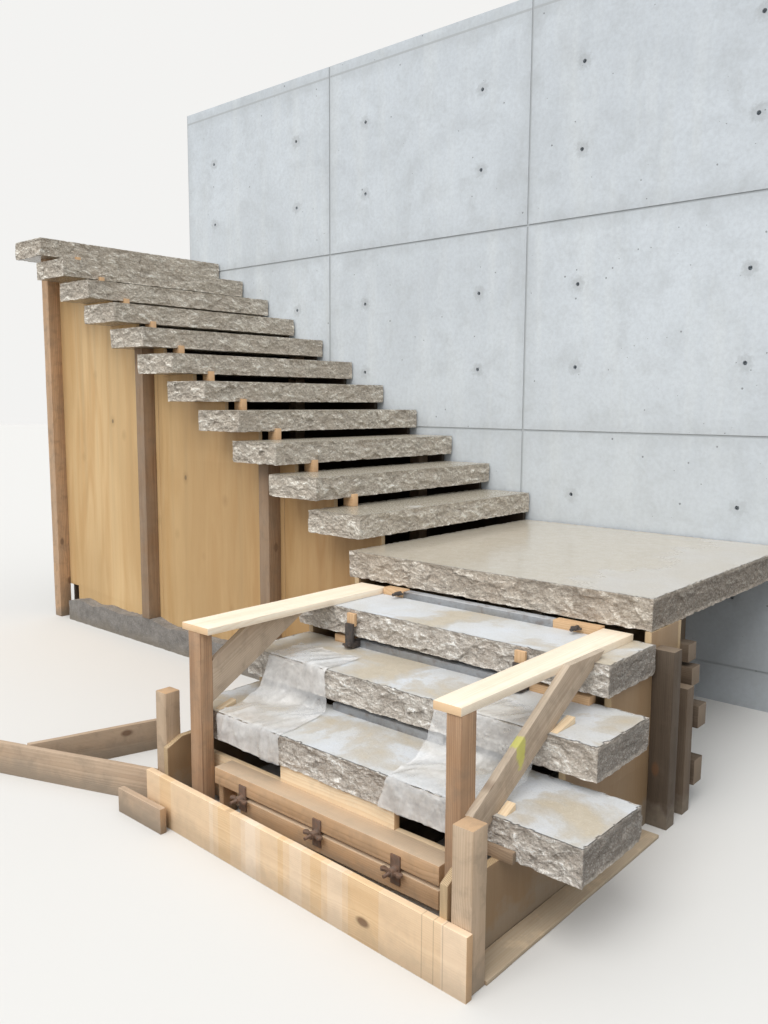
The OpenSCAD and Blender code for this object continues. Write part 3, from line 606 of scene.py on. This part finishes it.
def film_plastic(name):
    """Milky film with cement dust on it, clearer where it is clean."""
    film = settings("film")
    tree, shader = new_material(name, film.milk)
    place = place_of(tree)
    dusty = patches(place, 4.5, 0.5, 0.2)
    fine = cloud(place, 60, 5, 0.7)
    base = mix(dusty, film.milk, (0.9, 0.89, 0.87))
    cover = dusty + fine * 0.4
    clear = spread(cover, 0.25, 1.15, 0.16, 0.72)
    fill(shader, {"Alpha": clear, "Coat Weight": 1, "Coat Roughness": 0.1})
    finish_shader(shader, base, spread(dusty, 0, 1, 0.14, 0.34), fine, 0.0004)


def make_materials():
    timber = settings("timber")
    for build in (patches_group, grain_group, crystals_group, facets_group, splash_group):
        build()
    granite("Granite of the upper treads", (1.26, 1.26, 1.24), 0.9, 1.5, 0.75, (0.72, 0.72, 0.7))
    granite("Granite of the landing", (1.1, 1.07, 1.04), 0.95, 0.8, 1, dry_from=4.72)
    granite("Granite of the lower treads", (1.22, 1.24, 1.28), 0.42, 2.2, 0.5, (1.05, 1.04, 1.01))
    timber_material("Fresh board", timber.fresh, (0.72, 0.5, 0.28), 0.12)
    timber_material("Rail board", (0.93, 0.83, 0.68), (0.84, 0.67, 0.48), 0.06, rings=70, knots=1.7,
                    end=(0.86, 0.55, 0.28))
    timber_material("Kick board", (0.84, 0.6, 0.355), (0.7, 0.46, 0.245), 0.1, 0.25,
                    bands=(0.92, 0.77, 0.62), lines=(4.985, 5.028, 5.062))
    timber_material("Edging board", (0.58, 0.43, 0.3), (0.41, 0.285, 0.19), 0.3)
    timber_material("Orange beam", timber.orange, (0.47, 0.28, 0.14), 0.25, rings=42, dust=0.45,
                    end=(0.52, 0.3, 0.15))
    timber_material("Block", (0.74, 0.5, 0.29), (0.56, 0.33, 0.16), 0.1, rings=42,
                    end=(0.78, 0.5, 0.28))
    timber_material("Weathered post", timber.old, (0.22, 0.13, 0.07), 0.4, rings=48)
    # Painted shade: the props, walers, bearers and posts of the lower form take a near-black tone and
    # dark ends for the shade under the landing.
    timber_material("Dull post in painted shade", (0.125, 0.09, 0.06), (0.07, 0.047, 0.03), 0.08, rings=48,
                    end=(0.24, 0.18, 0.125))
    timber_material("Rail post", (0.54, 0.335, 0.195), (0.26, 0.13, 0.06), 0.35, rings=48)
    timber_material("Pale post", timber.pale, (0.43, 0.3, 0.19), 0.35, rings=48)
    timber_material("Grey board", (0.6, 0.48, 0.36), (0.42, 0.31, 0.22), 0.35, rings=48, dust=0.3,
                    dab=at(5.135, 2.452, 0.585))
    plywood("Form plywood", timber.ply)
    plywood("Weathered plywood", (0.56, 0.43, 0.285))
    plywood("Shaded plywood", (0.07, 0.045, 0.026), (0.06, 0.042, 0.026))
    wall_concrete("Fair-faced concrete")
    footing_concrete("Footing concrete")
    zinc_steel("Galvanised tube")
    rusty_steel("Rusty steel", settings("metal").rust, (0.24, 0.135, 0.085))
    rusty_steel("Dark steel", (0.06, 0.056, 0.055), (0.115, 0.085, 0.07))
    film_plastic("Film")


# Mesh tools


def finished(bm, name):
    """Turns a bmesh into a mesh."""
    mesh = bpy.data.meshes.new(name)
    bm.to_mesh(mesh)
    bm.free()
    return mesh


def placed(name, data):
    """Puts a new object in the scene."""
    obj = bpy.data.objects.new(name, data)
    bpy.context.scene.collection.objects.link(obj)
    return obj


def mark(mesh, domain, values):
    """Writes numbers on a mesh for its material to read."""
    for name, numbers in values.items():
        mesh.attributes.new(name, "FLOAT", domain).data.foreach_set("value", numbers)


def piece(name, mesh, material_name, node):
    """Puts a finished mesh in the scene as a piece that stands for a CAD node."""
    mesh.materials.append(bpy.data.materials[material_name])
    obj = placed(name, mesh)
    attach(obj, BODY)
    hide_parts(node)
    return obj


def merged(node):
    """A bmesh copy of a CAD node with its triangles merged back into flat faces."""
    bm = bmesh.new()
    bm.from_mesh(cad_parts[node].data)
    bmesh.ops.remove_doubles(bm, verts=bm.verts, dist=1e-5)
    bmesh.ops.dissolve_limit(bm, angle_limit=math.radians(1), verts=bm.verts, edges=bm.edges)
    return bm


def solids(node):
    """The separate solids of a CAD node, each as its own bmesh."""
    whole = merged(node)
    whole.verts.index_update()
    whole.verts.ensure_lookup_table()
    left = set(range(len(whole.verts)))
    parts = []
    while left:
        found = {min(left)}
        waiting = list(found)
        while waiting:
            vert = whole.verts[waiting.pop()]
            for link in vert.link_edges:
                other = link.other_vert(vert).index
                if other not in found:
                    found.add(other)
                    waiting.append(other)
        left -= found
        part = whole.copy()
        part.verts.ensure_lookup_table()
        bmesh.ops.delete(part, geom=[v for v in part.verts if v.index not in found], context="VERTS")
        parts.append(part)
    whole.free()
    return parts


def middle_of(part):
    return sum((v.co for v in part.verts), Vector()) / len(part.verts)


def board_axes(part):
    """Length, width and thickness directions of a board."""
    edges = [(e.verts[1].co - e.verts[0].co) for e in part.edges]
    longest = max(edges, key=lambda e: e.length).normalized()
    across = [e for e in edges if abs(e.normalized().dot(longest)) < 0.3]
    second = max(across, key=lambda e: e.length)
    second = (second - second.dot(longest) * longest).normalized()
    return longest, second, longest.cross(second)


def extent(part, direction):
    """Where a part begins and ends in a direction."""
    values = [v.co.dot(direction) for v in part.verts]
    return min(values), max(values)


def panel_axes(part):
    """Upright grain direction of a panel, its width and its thickness."""
    x, y, z = Matrix.Identity(3)
    (left, right), (front, back) = extent(part, x), extent(part, y)
    return (z, x, y) if right - left > back - front else (z, y, x)


def soften(part, width):
    """Bevels every sharp edge."""
    sharp = [e for e in part.edges if e.is_manifold and e.calc_face_angle(0) > math.radians(25)]
    bmesh.ops.bevel(part, geom=sharp, offset=width, offset_type="OFFSET", segments=2, profile=0.5,
                    affect="EDGES", clamp_overlap=True, material=-1)


def cut_across(part, direction, step):
    """Cuts a solid into even lengths, so that its faces can be uneven."""
    low, high = extent(part, direction)
    count = max(1, round((high - low) / step))
    for i in range(1, count):
        place = direction * (low + (high - low) * i / count)
        geom = list(part.verts) + list(part.edges) + list(part.faces)
        bmesh.ops.bisect_plane(part, geom=geom, dist=1e-5, plane_co=place, plane_no=direction)


def gather(parts, name):
    """Joins bmeshes into one mesh and returns it with each one's vertices and faces."""
    whole = bmesh.new()
    ranges = []
    for part in parts:
        start, first = len(whole.verts), len(whole.faces)
        loose = finished(part, "part")
        whole.from_mesh(loose)
        bpy.data.meshes.remove(loose)
        ranges.append((range(start, len(whole.verts)), range(first, len(whole.faces))))
    return finished(whole, name), ranges


def smooth_faces(mesh, angle=35):
    """Shades a mesh smooth, apart from edges sharper than the angle."""
    bm = bmesh.new()
    bm.from_mesh(mesh)
    for face in bm.faces:
        face.smooth = True
    for edge in bm.edges:
        edge.smooth = not (edge.is_manifold and edge.calc_face_angle(0) > math.radians(angle))
    bm.to_mesh(mesh)
    bm.free()


def timber(node, material_name, slot_name, bevel=None, name=None, panel=False, lots=None):
    """Sawn boards in place of a CAD node: softened edges, uneven faces, and
    coordinates along each board for the grain. Lots gives the shades of the
    boards, from dark 0 to light 1, in their order along the wall."""
    wood = settings("timber")
    name = name or "timber_" + node
    rng = random.Random(name + str(settings("stage").seed))
    parts, frames = [], []
    for i, part in enumerate(sorted(solids(node), key=lambda part: middle_of(part).x)):
        axes = panel_axes(part) if panel else board_axes(part)
        middle = middle_of(part)
        cut_across(part, axes[0], BOARD_STEP)
        soften(part, bevel or wood.bevel)
        shift = Vector((rng.uniform(-9, 9), rng.uniform(-9, 9), rng.uniform(-9, 9)))
        for vert in part.verts:
            vert.co += noise.noise_vector(vert.co * 5 + shift) * wood.wobble
        pith = Vector((rng.uniform(-9, 9), rng.uniform(-0.09, 0.09), rng.uniform(0.02, 0.1)))
        lot = lots[i] if lots else rng.uniform(0.35, 0.65)
        frames.append((Matrix(axes), middle, Vector() if panel else pith, lot))
        parts.append(part)
    mesh, ranges = gather(parts, name)
    grain, cut, upward, lot_of = [], [], [], []
    for (verts, faces), (turn, middle, pith, lot) in zip(ranges, frames):
        for i in verts:
            grain.extend(turn @ (mesh.vertices[i].co - middle) + pith)
        for i in faces:
            facing = turn @ mesh.polygons[i].normal
            cut.append(float(abs(facing.z) < 0.7 if panel else abs(facing.x) > 0.8))
            upward.append(float(mesh.polygons[i].normal.z > UPWARD))
            lot_of.append(lot)
    mesh.attributes.new("grain", "FLOAT_VECTOR", "POINT").data.foreach_set("vector", grain)
    mark(mesh, "FACE", {"cut": cut, "upward": upward, "lot": lot_of})
    smooth_faces(mesh)
    piece(name, mesh, material_name, node)


def steel(name, node, material_name, bevel):
    """Steel parts in place of a CAD node, with softened edges."""
    parts = solids(node)
    for part in parts:
        soften(part, bevel)
    mesh = gather(parts, name)[0]
    mark(mesh, "FACE", {"upward": [float(face.normal.z > UPWARD) for face in mesh.polygons]})
    smooth_faces(mesh)
    piece(name, mesh, material_name, node)


# Stones


def grid_block(low, high, cell):
    """A block whose faces are divided into cells of about the given size."""
    bm = bmesh.new()
    bmesh.ops.create_cube(bm, size=1)
    size = high - low
    bmesh.ops.scale(bm, verts=bm.verts, vec=size)
    bmesh.ops.translate(bm, verts=bm.verts, vec=(low + high) / 2)
    for axis in range(3):
        along = [e for e in bm.edges if abs((e.verts[1].co - e.verts[0].co)[axis]) > size[axis] * 0.9]
        cuts = max(1, round(size[axis] / cell)) - 1
        bmesh.ops.subdivide_edges(bm, edges=along, cuts=cuts, use_grid_fill=True)
    return bm


def ease(value):
    value = max(0, min(1, value))
    return value * value * (3 - 2 * value)


def facet(place, length_m, height_m):
    """A broken facet: how far it stands out, and how near its border is."""
    spot = Vector((place.x / length_m, place.y / length_m, place.z / height_m))
    gaps, points = noise.voronoi(spot)
    lean = noise.noise_vector(points[0] * 7.3)
    stand = 0.5 * noise.cell(points[0] * 31.7) + 1.3 * lean.dot(spot - points[0])
    return stand, 1 - ease((gaps[1] - gaps[0]) / 0.15)


def broken(place):
    """Relief of a broken granite face, 0 in its hollows and 1 on its ridges, and
    how near a crack is."""
    warped = place + noise.noise_vector(place * 12) * 0.02
    large, border = facet(warped, 0.15, 0.07)
    small, line = facet(warped + Vector((3.3, 1.1, 5.7)), 0.052, 0.028)
    fine = noise.fractal(place * 42, 0.7, 2.1, 5)
    height = 0.52 + 0.42 * large + 0.2 * small + 0.17 * fine
    return max(0, min(1, height)), max(border * 0.8, line * 0.35)


def inside(co, low, high):
    """Whether a point lies clear of a stone's broken margin."""
    return min(co.x - low.x, high.x - co.x, co.y - low.y, high.y - co.y) > BAND + 0.001


def break_vertex(co, low, high, shift, cell, painted_end_shade):
    """Moves one vertex of a stone to its broken place and tells its rock, relief and crack values. The
    last number scales the relief of the stone's right end and, below 1, sets its crack value to full
    there, which paints shade on that end. Near the top and bottom edges the relief is raised, which
    paints a highlight along the arrises."""
    stone = settings("stone")
    half = (low.z + high.z) / 2
    edge = 1 - ease(min(co.z - low.z, high.z - co.z) / EDGE)
    move, nearest, relief, crack_and_end_shade = Vector(), 1, 0.8, 0
    for axis in (0, 1):
        for plane, inward in ((low[axis], 1), (high[axis], -1)):
            gap = abs(co[axis] - plane)
            if gap >= BAND:
                continue
            on_side = co.copy()
            on_side[axis] = plane
            height, near = broken(on_side + shift)
            other = 1 - axis
            corner = 1 - ease(min(co[other] - low[other], high[other] - co[other]) / CORNER)
            held = max((0.45 if co.z < half else 0.88) * edge, 0.65 * corner)
            nick = (0.5 if co.z < half else 0.35) * (1 + 1.4 * noise.noise(on_side * 23 + shift))
            depth = stone.depth * (1 if axis else 0.7)
            back = depth * (1 - height) * (1 - held) + stone.arris * edge * max(0.1, nick)
            move[axis] += inward * back * (1 - gap / BAND)
            if gap < nearest:
                # Painted shade on the right end of the landing and the lower treads: the relief is
                # scaled by the last number and the crack value set to full. The flag named damp marks
                # this painted shade.
                damp = painted_end_shade < 1 and axis == 0 and inward < 0
                nearest, relief, crack_and_end_shade = gap, height * (painted_end_shade if damp else 1), 1 if damp else near
    side = nearest < cell * 0.4
    lip = 0 if side else 1 - ease(nearest / LIP)
    if edge > 0.99:
        chip = max(0, noise.noise(Vector((co.x, co.y, 0)) * 31 - shift) + 0.12)
        chip *= 1 if side else lip
        move.z += (0.006 if co.z < half else -0.0035) * chip
        lip = chip
    rock = 1 if side or lip > 0.3 else 0
    # The relief is raised near the top and bottom edges, which paints a highlight along the arrises.
    return co + move, (rock, relief + (0.9 - relief) * 0.4 * edge, crack_and_end_shade * (1 - edge) if side else 0)


def rock_stone(name, node, material_name, cell, painted_end_shade=1):
    """One stone: sawn top and bottom, broken sides and chipped arrises. A last number below 1 paints
    shade on its right end.
    """
    low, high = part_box(node)
    spare = Vector((0.003, 0.003, 0))
    low, high = low - spare, high + spare
    shift = Vector((3.1, 1.7, 2.3)) * STONES.index(node)
    bm = grid_block(low, high, cell)
    marks = {}
    for vert in bm.verts:
        vert.co, marks[vert] = break_vertex(vert.co.copy(), low, high, shift, cell, painted_end_shade)
    flats = ([], [])
    for face in bm.faces:
        if all(inside(v.co, low, high) for v in face.verts):
            flats[face.calc_center_median().z > (low.z + high.z) / 2].append(face)
    bmesh.ops.delete(bm, geom=flats[0] + flats[1], context="FACES")
    rims = [e for e in bm.edges if e.is_boundary]
    bmesh.ops.edgeloop_fill(bm, edges=rims)
    values = zip(*(marks[v] for v in bm.verts))
    mesh = finished(bm, name)
    mark(mesh, "POINT", dict(zip(MARKS, values)))
    smooth_faces(mesh, 40)
    piece(name, mesh, material_name, node)


# Film


def nose_run(back, hem, foot):
    """Out and up points of a sheet over the two lowest noses. Foot tells how far
    out from the second nose the sheet reaches the first tread."""
    (nose1, top1), (nose2, top2) = NOSES
    points = [(nose2 - back, top2), (nose2 - 0.012, top2), (nose2, top2 - 0.01),
              (nose2 + foot * 0.35, top1 + 0.045), (nose2 + foot, top1 + 0.003),
              (nose1 - 0.012, top1), (nose1, top1 - 0.01), (nose1 + 0.004, hem)]
    return [Vector(p) for p in points]


def walk(run, share):
    """The point at a share of a polyline's length."""
    steps = [(b - a).length for a, b in zip(run, run[1:])]
    travel = max(0, min(1, share)) * sum(steps)
    for a, b, step in zip(run, run[1:], steps):
        if travel <= step:
            return a.lerp(b, travel / step)
        travel -= step
    return run[-1].copy()


def film_sheet(name, node, run_at, side_at, seed):
    """A creased sheet. run_at gives the profile at a share of its width, side_at
    its left and right edge, in metres along the wall, at a share of its length."""
    film = settings("film")
    bm = bmesh.new()
    bmesh.ops.create_grid(bm, x_segments=46, y_segments=72, size=0.5)
    shift = Vector((seed * 3.7, seed * 1.3, 0))
    for vert in bm.verts:
        across, share = vert.co.x + 0.5, vert.co.y + 0.5
        run = run_at(across)
        ahead = (walk(run, share + 0.012) - walk(run, share - 0.012)).normalized()
        lift = Vector((-ahead.y, ahead.x))
        left, right = side_at(share)
        along = left + (right - left) * across + noise.noise(Vector((share * 5, seed, 0))) * 0.01
        crease = noise.fractal(Vector((along * 11, share * 3, 0)) + shift, 0.8, 2.1, 4)
        fold = 1 - abs(noise.noise(Vector((along * 13 + share * 5, share * 2.2, seed)))) * 4
        high = film.crease * (0.45 + 0.7 * crease + 0.9 * max(0, fold) ** 3)
        point = walk(run, share) + lift * max(0.0012, high)
        vert.co = at(along, point.x, point.y)
    bmesh.ops.recalc_face_normals(bm, faces=bm.faces)
    area = sum(f.calc_area() for f in bm.faces)
    mesh = finished(bm, name)
    for face in mesh.polygons:
        face.use_smooth = True
    obj = piece(name, mesh, "Film", node)
    wide = sum(side_at(t / 10)[1] - side_at(t / 10)[0] for t in range(11)) / 11
    round(area / wide, 3)


# Stage


def seen_rays(tree):
    """1 where the camera sees something, straight on, in a reflection or through it."""
    path = wires(add("LightPath", {}, tree))
    sees = path["Is Camera Ray"] + path["Is Glossy Ray"]
    return maths("MINIMUM", sees + path["Is Transmission Ray"], 1)


def make_stage():
    stage = settings("stage")
    bm = bmesh.new()
    bmesh.ops.create_circle(bm, cap_ends=True, segments=64, radius=stage.reach)
    floor = placed("Floor", finished(bm, "Floor"))
    tree, shader = new_material("Pale floor", stage.floor)
    tint = mix(seen_rays(tree), (0.24, 0.225, 0.21), stage.floor)
    fill(shader, {"Base Color": tint, "Roughness": 0.9})
    floor.data.materials.append(bpy.data.materials["Pale floor"])

    world = bpy.data.worlds.new("Soft light")
    bpy.context.scene.world = world
    world.use_nodes = True
    tree = world.node_tree
    tree.nodes.clear()
    way = Wire(add("TexCoord", {}, tree), "Generated")
    lean = vectors("DOT_PRODUCT", way, (0.02, -0.5, 0.86), "Value")
    glow = spread(lean, -0.7, 0.9, 0.38, 1.2) * stage.sky
    soft = add("Background", {"Color": (0.965, 0.985, 1, 1), "Strength": glow})
    seen = add("Background", {"Color": (0.9, 0.895, 0.88, 1), "Strength": 1}, tree)
    both = add("MixShader", {0: seen_rays(tree), 1: Wire(soft), 2: Wire(seen)})
    add("OutputWorld", {"Surface": Wire(both)})

    lamp = bpy.data.lights.new("Key", "SUN")
    lamp.energy = stage.sun
    lamp.angle = math.radians(45)
    lamp.color = (1, 0.985, 0.96)
    placed("Key", lamp).rotation_euler = Vector((0.12, -0.7, 0.95)).to_track_quat("Z", "Y").to_euler()


def make_camera():
    """The photograph's own viewpoint, found from the wall's joints and the treads."""
    yaw, pitch, roll = 41.418, -7.185, 0.298
    data = bpy.data.cameras.new("Camera")
    data.sensor_width, data.lens = 36, 30.77
    data.clip_start, data.clip_end = 0.05, 200
    camera = placed("Camera", data)
    turned = Matrix.Translation(at(6.4316, 4.7322, 1.6344))
    for degrees, axis in ((yaw, "Z"), (90 + pitch, "X"), (roll, "Z")):
        turned = turned @ Matrix.Rotation(math.radians(degrees), 4, axis)
    camera.matrix_world = turned
    bpy.context.scene.camera = camera
    bpy.context.scene.view_settings.view_transform = "Standard"


# Operators


class StairStep:
    bl_options = {"REGISTER", "UNDO"}

    def execute(self, context):
        noise.seed_set(NOISE_DRAW + settings("stage").seed)
        self.make()
        return {"FINISHED"}


class STAIR_OT_materials(StairStep, bpy.types.Operator):
    """Make the shared node groups and the materials"""
    bl_idname = "stair.materials"
    bl_label = "Materials"

    def make(self):
        make_materials()


class STAIR_OT_concrete(StairStep, bpy.types.Operator):
    """Finish the wall and the footing"""
    bl_idname = "stair.concrete"
    bl_label = "Concrete"

    def make(self):
        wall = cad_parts["retaining_wall"]
        wall.data.materials.clear()
        wall.data.materials.append(bpy.data.materials["Fair-faced concrete"])
        part = merged("form_plinth")
        cut_across(part, Vector((1, 0, 0)), 0.03)
        cut_across(part, Vector((0, 0, 1)), 0.03)
        for vert in part.verts:
            push = noise.noise_vector(vert.co * 22) * 0.005 + noise.noise_vector(vert.co * 60) * 0.002
            vert.co += Vector((push.x, push.y, push.z if vert.co.z > 0.01 else 0))
        mesh = finished(part, "concrete_footing")
        smooth_faces(mesh, 60)
        piece("concrete_footing", mesh, "Footing concrete", "form_plinth")


class STAIR_OT_upper_treads(StairStep, bpy.types.Operator):
    """Make the rock-faced treads of the upper flight"""
    bl_idname = "stair.upper_treads"
    bl_label = "Upper treads"

    def make(self):
        cell = settings("stone").cell
        for i, node in enumerate(UPPER_TREADS):
            rock_stone("stone_" + node, node, "Granite of the upper treads", cell * (1.25 + 0.02 * i))


class STAIR_OT_landing(StairStep, bpy.types.Operator):
    """Make the landing slab"""
    bl_idname = "stair.landing"
    bl_label = "Landing"

    def make(self):
        cell = settings("stone").cell * 1.15
        # The last number paints shade on the landing's right end.
        rock_stone("stone_landing", "landing_slab", "Granite of the landing", cell, 0.3)


class STAIR_OT_lower_treads(StairStep, bpy.types.Operator):
    """Make the rock-faced treads of the lower flight"""
    bl_idname = "stair.lower_treads"
    bl_label = "Lower treads"

    def make(self):
        cell = settings("stone").cell
        for node in LOWER_TREADS:
            # The last number paints shade on the right ends of the lower treads.
            rock_stone("stone_" + node, node, "Granite of the lower treads", cell, -0.9)


class STAIR_OT_upper_form(StairStep, bpy.types.Operator):
    """Make the panels, posts and blocks under the upper flight"""
    bl_idname = "stair.upper_form"
    bl_label = "Form under the upper flight"

    def make(self):
        timber("outer_form_panels", "Form plywood", "form_plywood", 0.0012, "plywood_outer", True)
        timber("inner_form_panels", "Shaded plywood", "form_plywood", 0.0012, "plywood_inner", True)
        timber("outer_form_posts", "Weathered post", "weathered_timber", 0.004, lots=(1.9, 0.32, 0.38))
        timber("inner_form_posts", "Weathered post", "weathered_timber", 0.004)
        timber("tread_spacers", "Block", "orange_timber", 0.0015, "timber_spacers")


class STAIR_OT_lower_form(StairStep, bpy.types.Operator):
    """Make the box of panels, posts and walers under the landing and lower flight"""
    bl_idname = "stair.lower_form"
    bl_label = "Form under the lower flight"

    def make(self):
        for node in ("right_side_form", "left_side_form", "rear_form"):
            timber(node, "Weathered plywood", "form_plywood", 0.0012, "plywood_" + node, True)
        # The lower form's timber takes the near-black tone of painted shade.
        for node in ("landing_props", "rear_walers", "middle_bearers"):
            timber(node, "Dull post in painted shade", "weathered_timber", 0.003)
        timber("right_form_posts", "Dull post in painted shade", "weathered_timber", 0.003, lots=(4.6, 0.9, 0.1))


class STAIR_OT_front_form(StairStep, bpy.types.Operator):
    """Make the front board, the front walers and the boards on the ground"""
    bl_idname = "stair.front_form"
    bl_label = "Front form"

    def make(self):
        timber("front_form", "Fresh board", "fresh_timber", name="timber_front_board")
        timber("front_walers", "Orange beam", "orange_timber", 0.004)
        timber("corner_posts", "Pale post", "weathered_timber", 0.004)
        timber("kick_board", "Kick board", "fresh_timber", 0.0015)
        timber("edging_boards", "Edging board", "fresh_timber", 0.0015)
        timber("sole_plank", "Fresh board", "fresh_timber")


class STAIR_OT_rails(StairStep, bpy.types.Operator):
    """Make the two frames over the lower flight"""
    bl_idname = "stair.rails"
    bl_label = "Rails"

    def make(self):
        timber("rail_posts", "Rail post", "weathered_timber", 0.003)
        timber("rail_boards", "Rail board", "fresh_timber", 0.002)
        timber("rail_braces", "Grey board", "weathered_timber", 0.002)


class STAIR_OT_tubes(StairStep, bpy.types.Operator):
    """Make the steel tubes with their blocks, clamps and ties"""
    bl_idname = "stair.tubes"
    bl_label = "Tubes, blocks and clamps"

    def make(self):
        timber("tube_blocks", "Block", "orange_timber", 0.002)
        timber("stone_wedges", "Fresh board", "fresh_timber", 0.001, "timber_wedges")
        steel("steel_tubes", "riser_tubes", "Galvanised tube", 0.0025)
        steel("steel_clamps", "tube_clamps", "Dark steel", 0.001)
        steel("steel_ties", "front_ties", "Rusty steel", 0.001)


class STAIR_OT_film(StairStep, bpy.types.Operator):
    """Drape the two sheets of film over the lower treads"""
    bl_idname = "stair.film"
    bl_label = "Film"

    def make(self):
        low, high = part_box("left_film")
        left, right = low.x - WALL_LOW.x, high.x - WALL_LOW.x
        film_sheet("film_left", "left_film",
                   lambda a: nose_run(0.2, 0.283 - 0.008 * a, 0.03 + 0.17 * ease(0.75 - a)),
                   lambda t: (left - 0.06 + 0.055 * t,
                              right - 0.021 + 0.062 * ease((t - 0.24) / 0.6)), 1)
        low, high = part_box("right_film")
        near, far = low.x - WALL_LOW.x, high.x - WALL_LOW.x
        film_sheet("film_right", "right_film",
                   lambda a: nose_run(0.19, 0.276 + 0.01 * a, 0.04 + 0.1 * ease(1 - a * 1.5)),
                   lambda t: (near - 0.024 + 0.037 * ease((t - 0.24) / 0.6)
                              - 0.033 * ease(t * 6 - 5), far), 2)


class STAIR_OT_stage(StairStep, bpy.types.Operator):
    """Set the floor, the light and the camera"""
    bl_idname = "stair.stage"
    bl_label = "Stage"

    def make(self):
        make_stage()
        make_camera()


# In the order of the classes above, which is the order they are made in
STEPS = StairStep.__subclasses__()


class STAIR_PT_panel(bpy.types.Panel):
    """Lists the steps that build the stair, and their settings"""
    bl_idname = "STAIR_PT_panel"
    bl_label = "Stair"
    bl_space_type = "VIEW_3D"
    bl_region_type = "UI"
    bl_category = "Stair"

    def draw(self, context):
        for name, group in SETTINGS.items():
            box = self.layout.box()
            box.label(text=name.split("_")[1].capitalize())
            for prop in group.__annotations__:
                box.prop(getattr(context.scene, name), prop)
        for step in STEPS:
            self.layout.operator(step.bl_idname)


def register():
    for name, group in SETTINGS.items():
        bpy.utils.register_class(group)
        setattr(bpy.types.Scene, name, PointerProperty(type=group))
    for step in STEPS + [STAIR_PT_panel]:
        bpy.utils.register_class(step)


def unregister():
    for step in reversed(STEPS + [STAIR_PT_panel]):
        bpy.utils.unregister_class(step)
    for name, group in SETTINGS.items():
        delattr(bpy.types.Scene, name)
        bpy.utils.unregister_class(group)


def main():
    register()
    for step in STEPS:
        group, name = step.bl_idname.split(".")
        getattr(getattr(bpy.ops, group), name)()


if __name__ == "__main__":
    main()
